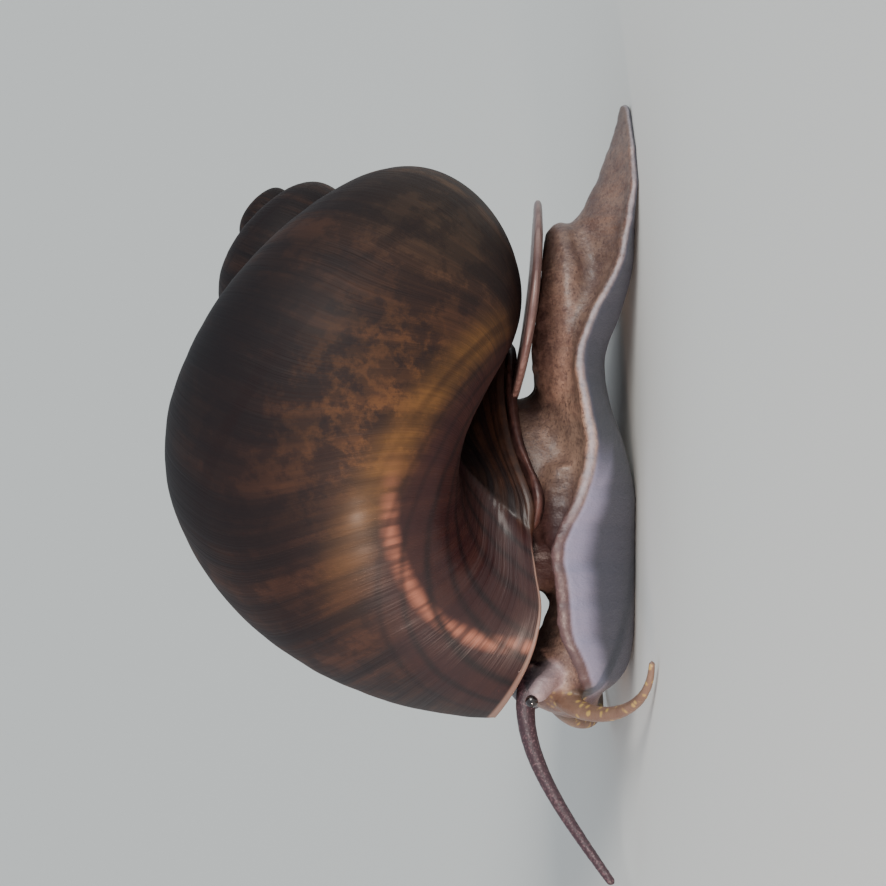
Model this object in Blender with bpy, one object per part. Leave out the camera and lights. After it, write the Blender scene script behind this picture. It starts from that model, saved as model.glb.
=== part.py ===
"""Apple snail at life size, crawling: head towards -Y, left side towards +X, sole on the floor at Z 0.

Lengths are in millimetres and angles in degrees; MM turns a finished mesh into the scene's metres.
The shell is right-handed. It coils round a slanted axis, each turn larger than the last by one ratio.
"""
import math

import bmesh
import bpy
from mathutils import Matrix, Vector

MM = 0.001
GAP = 0.3
TURN = 2.0 * math.pi

# Place of the model's own origin, so that the middle of the floor box comes out at zero
CENTRE_X = 3.16
CENTRE_Y = 4.7

# Shell: sizes of the coiled tube at the lip's own half turn
SHELL_GROWTH = 2.55
SHELL_RADIUS = 13.9
SHELL_DROP = 32.0
SHELL_ACROSS = 13.0
SHELL_ALONG = 18.0
SHELL_TILT = 14.0
SHELL_WALL = 1.1
SHELL_END = 1120.0

# Shell: how its axis stands
SHELL_NOD = 50.0
SHELL_SWING = 53.0
SHELL_ROLL = 5.0
SHELL_LEAN = 7.0
SHELL_SHIFT = (-34.7, 23.2, 5.0)

# Lip of the shell: its lowest place, then how it draws up towards the tail and towards the head
LIP_LOW = -8.0
LIP_LOW_Y = -14.8
LIP_SLOPE = 0.17
LIP_BOW = 4.2
LIP_BOW_LENGTH = 10.5
LIP_REACH = 137.0
MOUTH_DEPTH = 24.0
MOUTH_OVERSHOOT = 12.0
MANTLE_BACK = 21.0
MANTLE_RECESS = 5.0

# Coil pieces: angle where the last whorl ends, the step of the others, sides and rings of each
FIRST_PIECE_END = 205.0
PIECE_STEP = 322.0
PIECE_OVERLAP = 5.0
PIECE_SHRINK = 0.06
PIECE_SIDES = (28, 24, 18, 12)
PIECE_RINGS = (38, 30, 22, 14)

# Foot: one row for each station along Y:
# y, left edge, height of the left edge, its thickness, right edge, its thickness, crest, end of the flat,
# height of the sole
FOOT_STATIONS = (
    (-23.4, 4.0, 4.2, 1.2, -4.0, 1.2, 5.0, 1.0, 3.4),
    (-22.4, 7.6, 4.2, 1.5, -7.6, 1.4, 5.0, 1.5, 1.9),
    (-20.5, 10.4, 5.0, 1.7, -10.2, 1.5, 4.8, 2.2, 0.5),
    (-17.5, 12.4, 6.5, 1.8, -12.0, 1.4, 5.2, 3.0, 0.0),
    (-13.5, 13.4, 7.0, 1.8, -12.8, 1.3, 6.2, 3.4, 0.0),
    (-9.5, 13.6, 7.4, 1.8, -12.8, 1.3, 7.9, 3.6, 0.0),
    (-5.0, 13.2, 5.4, 1.8, -12.4, 1.3, 8.2, 4.0, 0.0),
    (-0.5, 12.4, 4.3, 1.6, -11.7, 1.3, 8.3, 4.4, 1.0),
    (4.0, 11.3, 4.9, 1.4, -10.8, 1.2, 8.2, 4.4, 2.5),
    (8.0, 10.2, 5.3, 1.3, -9.9, 1.2, 7.9, 4.2, 2.8),
    (12.0, 9.2, 3.9, 1.2, -9.0, 1.1, 7.4, 4.0, 1.3),
    (16.0, 8.4, 1.7, 1.1, -8.2, 1.0, 6.5, 3.6, 0.2),
    (20.0, 7.6, 0.7, 1.0, -7.4, 1.0, 5.2, 3.2, 0.0),
    (24.0, 6.6, 0.0, 0.9, -6.1, 0.9, 3.2, 2.8, 0.0),
    (27.5, 4.4, 0.0, 0.8, -4.0, 0.8, 1.9, 1.6, 0.0),
    (30.0, 2.0, 0.1, 0.6, -1.9, 0.6, 1.2, 0.6, 0.0),
    (31.2, 0.6, 0.3, 0.5, -0.6, 0.5, 1.0, 0.1, 0.1),
)
FOOT_RINGS = 36
FOOT_SIDE = 13
FOOT_SPLIT = 3.0

# Neck, the column between the foot and the shell
NECK_MIDDLE = (-3.0, -4.6)
NECK_HALF_X = 8.0
NECK_HALF_Y = 8.6
NECK_FOOT = 4.8
NECK_TOP = 13.0

# Head: y, height, half width, half height of each section from the neck to the snout
HEAD_SECTIONS = (
    (-9.5, 4.8, 4.4, 1.8),
    (-12.0, 4.9, 4.9, 2.1),
    (-14.5, 5.0, 5.5, 2.2),
    (-17.0, 5.4, 5.9, 2.7),
    (-19.5, 6.2, 5.9, 3.4),
    (-21.5, 6.5, 5.5, 3.5),
    (-23.2, 6.3, 4.8, 3.1),
    (-24.4, 6.0, 3.8, 2.4),
    (-25.1, 5.8, 2.4, 1.4),
)
HEAD_SIDES = 24
MOUTH_PLACE = (0.0, -24.6, 4.6)
MOUTH_SIZE = (0.45, 1.5, 1.5)

# Tentacles: root, two guides and tip, then the radius at the root and at the tip
TENTACLE_LEFT = ((3.2, -20.5, 9.2), (4.4, -26.5, 12.2), (5.6, -33.0, 7.6), (8.2, -40.4, 2.6))
TENTACLE_RIGHT = ((-3.2, -20.5, 8.6), (-6.5, -25.0, 7.4), (-16.0, -25.0, 7.0), (-27.0, -21.0, 9.0))
TENTACLE_ROOT_RADIUS = 1.0
TENTACLE_TIP_RADIUS = 0.42
PALP_LEFT = ((3.0, -23.0, 6.6), (7.0, -25.6, 5.8), (16.0, -25.9, 0.0), (20.6, -19.8, 0.7))
PALP_RIGHT = ((-3.0, -23.0, 6.6), (-7.0, -26.0, 5.2), (-14.0, -27.5, 0.0), (-18.0, -22.0, 0.7))
PALP_ROOT_RADIUS = 1.05
PALP_TIP_RADIUS = 0.3
FEELER_STEPS = 7

# Eyes on short stalks beside the tentacles
STALK_LEFT = ((4.0, -20.4, 7.0), (5.0, -21.6, 8.2), (5.8, -22.7, 9.2), (6.4, -23.6, 9.9))
STALK_RIGHT = ((-4.2, -18.2, 7.0), (-5.6, -18.8, 7.8), (-6.9, -19.4, 8.3), (-7.8, -20.0, 8.6))
STALK_ROOT_RADIUS = 1.15
STALK_TIP_RADIUS = 0.95
EYE_RADIUS = 0.6

# Lobes of the neck, thin curled flaps beside the head
LOBE_LEFT_MIDDLE = (4.7, -6.0, 6.9)
LOBE_RIGHT_MIDDLE = (-10.7, -6.0, 5.2)
LOBE_LENGTH = 8.0
LOBE_HEIGHT = 4.2
LOBE_THICKNESS = 0.9
LOBE_CURL = 2.7

# Operculum, on the axes of the shell's mouth, and the fleshy lobe that carries it
OPERCULUM_MIDDLE = (-9.0, 13.0, 0.5)
OPERCULUM_HALF_LENGTH = 12.6
OPERCULUM_HALF_WIDTH = 9.4
OPERCULUM_THICKNESS = 1.2
OPERCULUM_PITCH = 7.0
OPERCULUM_DISH = 0.1
OPERCULUM_BOW = -0.7
OPERCULUM_LOBE_MIDDLE = (-0.5, 10.6, 6.3)
OPERCULUM_LOBE_HALF = (7.4, 9.8, 2.8)

COLOURS = {
    "shell": ((0.075, 0.028, 0.014), 0.28),
    "operculum": ((0.19, 0.10, 0.075), 0.45),
    "flesh": ((0.17, 0.10, 0.070), 0.42),
    "mantle": ((0.20, 0.12, 0.085), 0.45),
    "feeler": ((0.085, 0.045, 0.050), 0.40),
    "eye": ((0.012, 0.011, 0.012), 0.12),
}


def finish(name):
    """Principled material in the colour of one kind of surface."""
    colour, roughness = COLOURS[name]
    material = bpy.data.materials.get(name) or bpy.data.materials.new(name)
    material.use_nodes = True
    shader = material.node_tree.nodes["Principled BSDF"]
    shader.inputs["Base Color"].default_value = (*colour, 1.0)
    shader.inputs["Roughness"].default_value = roughness
    return material


def collection(name):
    """Collection of this name in the scene."""
    found = bpy.data.collections.new(name)
    bpy.context.scene.collection.children.link(found)
    return found


def add_mesh(name, points, faces, holder):
    """Object whose closed mesh has its faces turned outwards; points are in millimetres."""
    shape = bmesh.new()
    corners = [shape.verts.new(Vector(point) * MM) for point in points]
    for face in faces:
        shape.faces.new([corners[index] for index in face])
    bmesh.ops.recalc_face_normals(shape, faces=shape.faces[:])
    mesh = bpy.data.meshes.new(name)
    shape.to_mesh(mesh)
    shape.free()
    thing = bpy.data.objects.new(name, mesh)
    holder.objects.link(thing)
    return thing


def loft(name, rings, holder):
    """Closed skin through rings of equally many points, with a fan over each end."""
    sides = len(rings[0])
    points = [point for ring in rings for point in ring]
    faces = []
    for row in range(len(rings) - 1):
        for side in range(sides):
            after = (side + 1) % sides
            low = row * sides
            high = low + sides
            faces.append((low + side, low + after, high + after, high + side))
    for start, ring in ((0, rings[0]), (len(points) - sides, rings[-1])):
        middle = sum((Vector(point) for point in ring), Vector()) / sides
        points.append(middle)
        for side in range(sides):
            faces.append((start + side, start + (side + 1) % sides, len(points) - 1))
    return add_mesh(name, points, faces, holder)


def grown(thing, distance, holder):
    """Copy of a closed object, swollen along its normals; it is a cutter that leaves a gap."""
    mesh = thing.data.copy()
    directions = [vertex.normal.copy() for vertex in mesh.vertices]
    for vertex, direction in zip(mesh.vertices, directions):
        vertex.co += direction * distance * MM
    copy = bpy.data.objects.new(thing.name + "_clearance", mesh)
    copy.matrix_world = thing.matrix_world
    copy.hide_render = True
    copy.display_type = "WIRE"
    holder.objects.link(copy)
    return copy


def enclosed(faces):
    """Volume inside a closed set of triangles, below zero where they face inwards."""
    total = 0.0
    for face in faces:
        first, second, third = (corner.co for corner in face.verts)
        total += first.dot(second.cross(third)) / 6.0
    return total


def keep_largest(mesh):
    """Leave only the largest closed surface in a mesh, as triangles."""
    shape = bmesh.new()
    shape.from_mesh(mesh)
    bmesh.ops.triangulate(shape, faces=shape.faces[:])
    left = set(shape.faces)
    groups = []
    while left:
        edge_of = [left.pop()]
        group = set(edge_of)
        while edge_of:
            face = edge_of.pop()
            for edge in face.edges:
                for other in edge.link_faces:
                    if other in left:
                        left.discard(other)
                        group.add(other)
                        edge_of.append(other)
        groups.append(group)
    groups.sort(key=enclosed)
    scraps = [face for group in groups[:-1] for face in group]
    bmesh.ops.delete(shape, geom=scraps, context="FACES")
    loose = [vertex for vertex in shape.verts if not vertex.link_faces]
    bmesh.ops.delete(shape, geom=loose, context="VERTS")
    shape.to_mesh(mesh)
    shape.free()


def carve(thing, others, operation, solver="MANIFOLD"):
    """Join closed objects to one, or cut them from it, and keep its largest piece."""
    group = bpy.data.collections.new(thing.name + "_tools")
    bpy.context.scene.collection.children.link(group)
    for other in others:
        group.objects.link(other)
    boolean = thing.modifiers.new("shape", "BOOLEAN")
    boolean.operation = operation
    boolean.operand_type = "COLLECTION"
    boolean.collection = group
    boolean.solver = solver
    bpy.context.view_layer.update()
    graph = bpy.context.evaluated_depsgraph_get()
    mesh = bpy.data.meshes.new_from_object(thing.evaluated_get(graph))
    thing.modifiers.clear()
    thing.data = mesh
    bpy.data.collections.remove(group)
    keep_largest(mesh)
    return thing


def discard(things):
    """Remove objects that have done their work."""
    for thing in things:
        bpy.data.objects.remove(thing, do_unlink=True)


def place(name, thing, surface, holder):
    """Give a finished solid its name, material and collection."""
    for owner in list(thing.users_collection):
        owner.objects.unlink(thing)
    holder.objects.link(thing)
    thing.name = name
    thing.data.name = name
    thing.data.materials.clear()
    thing.data.materials.append(finish(surface))
    thing.data.shade_smooth()
    thing.data.set_sharp_from_angle(angle=math.radians(40.0))
    return thing


def between(stations, y):
    """Values of a table of stations at y, on a smooth curve through its rows."""
    last = len(stations) - 2
    row = max(0, min(last, sum(1 for station in stations[1:] if station[0] <= y)))
    low = stations[row]
    high = stations[row + 1]
    before = stations[max(row - 1, 0)]
    after = stations[min(row + 2, last + 1)]
    share = (y - low[0]) / (high[0] - low[0])
    values = []
    for column in range(1, len(low)):
        span = high[0] - low[0]
        rise_low = (high[column] - before[column]) / (high[0] - before[0]) * span
        rise_high = (after[column] - low[column]) / (after[0] - low[0]) * span
        cube = 2 * low[column] - 2 * high[column] + rise_low + rise_high
        square = -3 * low[column] + 3 * high[column] - 2 * rise_low - rise_high
        values.append(((cube * share + square) * share + rise_low) * share + low[column])
    return values


def shell_point(back, around, grow=0.0):
    """Point of the coiled tube: back is the angle from the lip to the apex, around goes round a section."""
    size = SHELL_GROWTH ** (-back / TURN)
    tilt = math.radians(SHELL_TILT)
    across = (SHELL_ACROSS * size + grow) * math.cos(around)
    along = (SHELL_ALONG * size + grow) * math.sin(around)
    radius = SHELL_RADIUS * size + across * math.cos(tilt) + along * math.sin(tilt)
    height = -SHELL_DROP * size + along * math.cos(tilt) - across * math.sin(tilt)
    return Vector((radius * math.cos(back), radius * math.sin(back), height))


def mouth_axes():
    """Axes of the shell's mouth: out of it, towards the tail, and away from the left side."""
    lean = math.radians(SHELL_LEAN)
    out = Vector((math.sin(lean), 0.0, -math.cos(lean)))
    tailwards = Vector((0.0, 1.0, 0.0))
    away = Vector((-math.cos(lean), 0.0, -math.sin(lean)))
    return out, tailwards, away


def from_mouth(out, tailwards, away):
    """Point of the model from distances along the axes of the shell's mouth."""
    first, second, third = mouth_axes()
    return first * out + second * tailwards + third * away


def stand(point):
    """Turn a point of the coil, whose axis is Z, to the way the shell is carried."""
    nod = math.radians(SHELL_NOD)
    swing = math.radians(SHELL_SWING)
    roll = math.radians(SHELL_ROLL)
    out = -point.y
    up = point.z * math.sin(nod) - point.x * math.cos(nod)
    away = point.z * math.cos(nod) + point.x * math.sin(nod)
    swung = out * math.cos(swing) - away * math.sin(swing)
    away = out * math.sin(swing) + away * math.cos(swing)
    rolled = swung * math.cos(roll) - up * math.sin(roll)
    up = swung * math.sin(roll) + up * math.cos(roll)
    return from_mouth(rolled + SHELL_SHIFT[0], up + SHELL_SHIFT[1], away + SHELL_SHIFT[2])


def past_lip(point):
    """How far a point lies beyond the bowed plane of the shell's mouth."""
    out = mouth_axes()[0].dot(point)
    behind = max(0.0, point.y - LIP_LOW_Y)
    ahead = max(0.0, LIP_LOW_Y - point.y) / LIP_BOW_LENGTH
    return out - LIP_LOW + LIP_SLOPE * behind + LIP_BOW * ahead ** 2


def lip_angles(sides):
    """Angle at which each line along the tube meets the plane of the mouth.

    The lines on the inner side never meet it. There the lip runs straight from one neighbour to the other.
    """
    angles = []
    for side in range(sides):
        back = 60.0
        while back > -LIP_REACH and past_lip(shell_place(back, TURN * side / sides)) < 0.0:
            back -= 0.5
        angles.append(back)
    missing = [side for side in range(sides) if angles[side] <= -LIP_REACH]
    first = missing[0] - 1
    last = missing[-1] + 1
    for side in missing:
        share = (side - first) / (last - first)
        angles[side] = angles[first] + (angles[last] - angles[first]) * share
    return angles


def shell_place(back, around, grow=0.0):
    """Point of the coiled tube where it is carried; back is in degrees."""
    return stand(shell_point(math.radians(back), around, grow))


def mouth_tube(name, shift, end, grow, rings, holder):
    """Last part of the coiled tube, from the lip to an angle behind it."""
    sides = PIECE_SIDES[0]
    starts = [angle + shift for angle in lip_angles(sides)]
    table = []
    for row in range(rings):
        share = row / (rings - 1)
        ring = []
        for side in range(sides):
            back = starts[side] + (end - starts[side]) * share
            ring.append(shell_place(back, TURN * side / sides, grow))
        table.append(ring)
    return loft(name, table, holder)


def coil_piece(number, start, end, holder):
    """One older stretch of the coil, shorter than a full turn, so that it never meets itself."""
    sides = PIECE_SIDES[number]
    rings = PIECE_RINGS[number]
    table = []
    for row in range(rings):
        back = start + (end - start) * row / (rings - 1)
        closing = min(1.0, (SHELL_END - back) / 60.0 + 0.25)
        shrink = -PIECE_SHRINK - (1.0 - closing) * SHELL_ACROSS * SHELL_GROWTH ** (-back / 360.0) * 0.7
        table.append([shell_place(back, TURN * side / sides, shrink) for side in range(sides)])
    return loft("coil_piece_%d" % number, table, holder)


def older_coil(holder):
    """The whorls behind the last one, as separate pieces that overlap a little."""
    pieces = []
    start = FIRST_PIECE_END - PIECE_OVERLAP
    while start < SHELL_END - PIECE_OVERLAP:
        end = min(start + PIECE_STEP, SHELL_END)
        pieces.append(coil_piece(len(pieces) + 1, start, end, holder))
        start = end - PIECE_OVERLAP
    return pieces


def make_shell(holder, tools):
    """Shell with its spire, and an open mouth that the mantle fills."""
    shell = mouth_tube("last_whorl", 0.0, FIRST_PIECE_END, 0.0, PIECE_RINGS[0], tools)
    hollow = mouth_tube("hollow", -MOUTH_OVERSHOOT, MOUTH_DEPTH, -SHELL_WALL, 16, tools)
    carve(shell, [hollow], "DIFFERENCE")
    pieces = older_coil(tools)
    carve(shell, pieces, "UNION")
    discard([hollow])
    place("shell", shell, "shell", holder)
    return pieces


def make_mantle(older, door_room, holder, tools):
    """Mantle: the flesh that fills the shell's mouth, a little behind its lip and clear of the operculum."""
    plug = mouth_tube("plug", MANTLE_RECESS, MANTLE_BACK, -SHELL_WALL - GAP, 12, tools)
    clearances = [grown(piece, GAP, tools) for piece in older]
    carve(plug, [door_room, *clearances], "DIFFERENCE")
    discard(clearances)
    return place("mantle", plug, "mantle", holder)


def ellipse_ring(middle, first, second, sides):
    """Ring of points round a middle, from two half axes given as vectors."""
    centre = Vector(middle)
    ring = []
    for side in range(sides):
        angle = TURN * side / sides
        ring.append(centre + Vector(first) * math.cos(angle) + Vector(second) * math.sin(angle))
    return ring


def foot_ring(y):
    """Outline of the foot across one station, from its left edge under the sole and back over the top."""
    left, lift, left_edge, right, right_edge, crest, flat, sole = between(FOOT_STATIONS, y)
    sole = max(sole, 0.0)
    lift = max(lift, sole)
    middle = 0.1 * (left + right)
    ring = []
    for step in range(FOOT_SIDE):
        x = left + (right - left) * step / (FOOT_SIDE - 1)
        rise = max(0.0, (x - flat) / (left - flat)) if left > flat else 0.0
        ring.append(Vector((x, y, sole + (lift - sole) * rise ** 1.5)))
    ring.append(Vector((right - 0.25 * right_edge, y, sole + 0.5 * right_edge)))
    for step in range(FOOT_SIDE):
        x = right + (left - right) * step / (FOOT_SIDE - 1)
        share = step / (FOOT_SIDE - 1)
        base = sole + right_edge + (lift + left_edge - sole - right_edge) * share ** 2
        reach = (x - middle) / ((left if x > middle else right) - middle)
        bump = 0.5 + 0.5 * math.cos(math.pi * reach)
        ring.append(Vector((x, y, base + max(0.0, crest - base) * bump)))
    ring.append(Vector((left + 0.25 * left_edge, y, lift + 0.5 * left_edge)))
    return ring


def make_foot(cutters, holder, tools):
    """Foot in two lengths, the front under the shell and the pointed tail."""
    first = FOOT_STATIONS[0][0]
    last = FOOT_STATIONS[-1][0]
    lengths = (("foot_front", first, FOOT_SPLIT - 0.5 * GAP), ("foot_tail", FOOT_SPLIT + 0.5 * GAP, last))
    made = []
    for name, start, end in lengths:
        rings = max(8, round(FOOT_RINGS * (end - start) / (last - first)))
        table = [foot_ring(start + (end - start) * row / rings) for row in range(rings + 1)]
        length = loft(name + "_block", table, tools)
        carve(length, cutters, "DIFFERENCE")
        made.append(place(name, length, "flesh", holder))
    return made


def make_neck(holder, tools, cutters):
    """Neck: the column of flesh from the foot up into the mouth of the shell."""
    rings = []
    for row in range(7):
        share = row / 6
        widen = 1.0 + 0.12 * (1.0 - share) ** 2
        middle = (NECK_MIDDLE[0], NECK_MIDDLE[1], NECK_FOOT + (NECK_TOP - NECK_FOOT) * share)
        first = (NECK_HALF_X * widen, 0.0, 0.0)
        second = (0.0, NECK_HALF_Y * widen, 0.0)
        rings.append(ellipse_ring(middle, first, second, 32))
    neck = loft("column", rings, tools)
    carve(neck, cutters, "DIFFERENCE")
    return place("neck", neck, "flesh", holder)


def make_head(tools):
    """Head and snout, with the slit of the mouth under its front, before its feelers are fitted."""
    rings = []
    for y, height, half_width, half_height in HEAD_SECTIONS:
        ring = []
        for side in range(HEAD_SIDES):
            angle = TURN * side / HEAD_SIDES
            x = half_width * math.cos(angle)
            z = half_height * math.sin(angle)
            ring.append(Vector((x, y, height + z * (1.0 - 0.10 * math.cos(2.0 * angle)))))
        rings.append(ring)
    return loft("head_block", rings, tools)


def ball(name, middle, halves, holder, segments=16, rings=10):
    """Ellipsoid from its middle and three half axes."""
    bpy.ops.mesh.primitive_uv_sphere_add(segments=segments, ring_count=rings, radius=MM)
    thing = bpy.context.object
    thing.name = name
    thing.data.transform(Matrix.Diagonal((*halves, 1.0)))
    thing.data.transform(Matrix.Translation(Vector(middle) * MM))
    for owner in list(thing.users_collection):
        owner.objects.unlink(thing)
    holder.objects.link(thing)
    return thing


def bend_point(guides, share):
    """Point of the smooth bend through four guides."""
    root, first, second, tip = (Vector(guide) for guide in guides)
    rest = 1.0 - share
    return (root * rest ** 3 + first * 3 * rest ** 2 * share
            + second * 3 * rest * share ** 2 + tip * share ** 3)


def feeler(name, guides, radii, span, steps, holder):
    """One tapered length of a feeler, between two shares of its bend, as a closed mesh."""
    curve = bpy.data.curves.new(name, "CURVE")
    curve.dimensions = "3D"
    curve.bevel_depth = MM
    curve.bevel_resolution = 2
    curve.use_fill_caps = True
    line = curve.splines.new("POLY")
    line.points.add(steps)
    for step in range(steps + 1):
        share = span[0] + (span[1] - span[0]) * step / steps
        line.points[step].co = (*(bend_point(guides, share) * MM), 1.0)
        line.points[step].radius = radii[0] + (radii[1] - radii[0]) * share
    guide = bpy.data.objects.new(name + "_curve", curve)
    holder.objects.link(guide)
    bpy.context.view_layer.update()
    graph = bpy.context.evaluated_depsgraph_get()
    mesh = bpy.data.meshes.new_from_object(guide.evaluated_get(graph))
    shape = bmesh.new()
    shape.from_mesh(mesh)
    bmesh.ops.remove_doubles(shape, verts=shape.verts[:], dist=0.00001)
    bmesh.ops.recalc_face_normals(shape, faces=shape.faces[:])
    shape.to_mesh(mesh)
    shape.free()
    thing = bpy.data.objects.new(name, mesh)
    holder.objects.link(thing)
    discard([guide])
    return thing


def bend_length(guides):
    """Length of a bend in millimetres."""
    spots = [bend_point(guides, step / 40) for step in range(41)]
    return sum((after - before).length for before, after in zip(spots, spots[1:]))


def make_feeler(name, parts, guides, radii, roots, holder, tools):
    """A feeler in a few lengths that meet face to face, its root fitted to what it grows from."""
    gap = GAP / bend_length(guides)
    made = []
    for number, part in enumerate(parts):
        start = number / len(parts) + (0.5 * gap if number else 0.0)
        end = (number + 1) / len(parts) - (0.5 * gap if number + 1 < len(parts) else 0.0)
        length = feeler(name + "_" + part, guides, radii, (start, end), FEELER_STEPS, tools)
        if number == 0:
            clearances = [grown(root, GAP, tools) for root in roots]
            carve(length, clearances, "DIFFERENCE")
            discard(clearances)
        made.append(place(name + "_" + part, length, "feeler", holder))
    return made


def make_operculum(holder):
    """Operculum: the thin horny door of the shell, dished, with its straighter side towards the head."""
    sides = 36
    rings = 7
    pitch = math.radians(OPERCULUM_PITCH)
    points = []
    faces = []
    for face_side in (-0.5, 0.5):
        for row in range(1, rings + 1):
            reach = row / rings
            for side in range(sides):
                angle = TURN * side / sides
                along = OPERCULUM_HALF_WIDTH * reach * math.sin(angle)
                across = OPERCULUM_HALF_LENGTH * reach * math.cos(angle) * (1.0 - 0.12 * math.sin(angle))
                thickness = OPERCULUM_THICKNESS * (1.0 - 0.35 * reach ** 4)
                out = face_side * thickness + OPERCULUM_DISH * reach ** 2
                out += OPERCULUM_BOW * (along / OPERCULUM_HALF_WIDTH) ** 2
                out += along * math.sin(pitch)
                points.append(operculum_place(out, along * math.cos(pitch), across))
        points.append(operculum_place(face_side * OPERCULUM_THICKNESS, 0.0, 0.0))
    block = rings * sides + 1
    for sheet in (0, 1):
        first = sheet * block
        centre = first + rings * sides
        for side in range(sides):
            after = (side + 1) % sides
            faces.append((centre, first + side, first + after))
            for row in range(rings - 1):
                low = first + row * sides
                high = low + sides
                faces.append((low + side, high + side, high + after, low + after))
    rim = (rings - 1) * sides
    for side in range(sides):
        after = (side + 1) % sides
        faces.append((rim + side, rim + after, block + rim + after, block + rim + side))
    plate = add_mesh("operculum", points, faces, holder)
    return place("operculum", plate, "operculum", holder)


def operculum_place(out, tailwards, away):
    """Point of the operculum from distances to its middle."""
    middle = OPERCULUM_MIDDLE
    return from_mouth(middle[0] + out, middle[1] + tailwards, middle[2] + away)


def make_lobe(name, middle, side, cutters, holder, tools):
    """A thin flap of the neck, curled along its length like a gutter."""
    rows = 9
    columns = 7
    points = []
    for sheet in (-0.5, 0.5):
        for row in range(rows):
            for column in range(columns):
                along = (row / (rows - 1) - 0.5) * LOBE_LENGTH
                angle = (column / (columns - 1) - 0.5) * LOBE_CURL
                narrow = 1.0 - 0.45 * (2.0 * row / (rows - 1) - 1.0) ** 2
                radius = 0.5 * LOBE_HEIGHT + sheet * LOBE_THICKNESS
                x = side * radius * math.cos(angle)
                z = radius * math.sin(angle) * narrow
                points.append(Vector(middle) + Vector((x, along, z)))
    faces = []
    block = rows * columns
    for row in range(rows - 1):
        for column in range(columns - 1):
            low = row * columns + column
            faces.append((low, low + 1, low + columns + 1, low + columns))
            faces.append((block + low, block + low + columns, block + low + columns + 1, block + low + 1))
    edge = [column for column in range(columns - 1)]
    edge += [row * columns + columns - 1 for row in range(rows - 1)]
    edge += [block - 1 - column for column in range(columns - 1)]
    edge += [(rows - 1 - row) * columns for row in range(rows - 1)]
    for spot, after in zip(edge, edge[1:] + edge[:1]):
        faces.append((spot, after, block + after, block + spot))
    flap = add_mesh(name, points, faces, tools)
    carve(flap, cutters, "DIFFERENCE")
    return place(name, flap, "mantle", holder)


def main():
    for thing in list(bpy.data.objects):
        bpy.data.objects.remove(thing, do_unlink=True)
    snail = collection("apple_snail")
    tools = collection("cutters")

    older = make_shell(snail, tools)
    operculum = make_operculum(snail)
    door_room = grown(operculum, GAP, tools)
    mantle = make_mantle(older, door_room, snail, tools)
    discard(older)
    head = make_head(tools)

    plug_room = grown(mantle, GAP, tools)
    head_room = grown(head, GAP, tools)
    neck = make_neck(snail, tools, [plug_room, door_room, head_room])
    neck_room = grown(neck, GAP, tools)
    lobe = ball("operculum_lobe", OPERCULUM_LOBE_MIDDLE, OPERCULUM_LOBE_HALF, tools, 24, 14)
    lobe_room = grown(lobe, GAP, tools)
    carve(lobe, [door_room, neck_room], "DIFFERENCE")
    place("operculum_lobe", lobe, "flesh", snail)
    feet = make_foot([neck_room, head_room, lobe_room, door_room], snail, tools)

    slit = ball("mouth_slit", MOUTH_PLACE, MOUTH_SIZE, tools)
    carve(head, [slit], "DIFFERENCE")
    discard([slit])
    place("head", head, "flesh", snail)

    foot_room = grown(feet[0], GAP, tools)
    flaps = (("neck_lobe_left", LOBE_LEFT_MIDDLE, 1.0), ("neck_lobe_right", LOBE_RIGHT_MIDDLE, -1.0))
    for name, middle, side in flaps:
        make_lobe(name, middle, side, [neck_room, head_room, foot_room], snail, tools)

    tentacle_radii = (TENTACLE_ROOT_RADIUS, TENTACLE_TIP_RADIUS)
    palp_radii = (PALP_ROOT_RADIUS, PALP_TIP_RADIUS)
    thirds = ("base", "middle", "tip")
    halves = ("base", "tip")
    make_feeler("tentacle_left", thirds, TENTACLE_LEFT, tentacle_radii, [head, neck], snail, tools)
    make_feeler("tentacle_right", thirds, TENTACLE_RIGHT, tentacle_radii, [head, neck], snail, tools)
    make_feeler("palp_left", halves, PALP_LEFT, palp_radii, [head, neck, feet[0]], snail, tools)
    make_feeler("palp_right", halves, PALP_RIGHT, palp_radii, [head, neck, feet[0]], snail, tools)
    make_eye("left", STALK_LEFT, [head, neck], snail, tools)
    make_eye("right", STALK_RIGHT, [head, neck], snail, tools)
    discard([plug_room, door_room, head_room, neck_room, lobe_room, foot_room])
    shift = Matrix.Translation(Vector((CENTRE_X, CENTRE_Y, 0.0)) * MM)
    for thing in snail.objects:
        thing.data.transform(shift)


def make_eye(side, guides, roots, holder, tools):
    """Eye set in the tip of its short stalk."""
    eye = ball("eye_" + side, guides[3], (EYE_RADIUS,) * 3, tools, 12, 8)
    room = ball("eye_room", guides[3], (EYE_RADIUS + GAP,) * 3, tools, 12, 8)
    stalk = feeler("eye_stalk_" + side, guides, (STALK_ROOT_RADIUS, STALK_TIP_RADIUS), (0.0, 1.0), 6, tools)
    clearances = [grown(root, GAP, tools) for root in roots]
    carve(stalk, [room, *clearances], "DIFFERENCE")
    discard([room, *clearances])
    place("eye_stalk_" + side, stalk, "flesh", holder)
    place("eye_" + side, eye, "eye", holder)


if __name__ == "__main__":
    main()
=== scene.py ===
"""Looks of the apple snail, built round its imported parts.

Head towards -Y, left side towards +X, sole on the floor at Z 0. Shapes are worked out in millimetres, in the
design's own place; publish() moves them to the model's place and turns them into metres. Geometry Nodes wind
the shell's tube from a flat sheet and draw the feelers along their bends.
"""

import math

import bpy
import numpy as np
from mathutils import Matrix, Vector, noise


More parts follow.
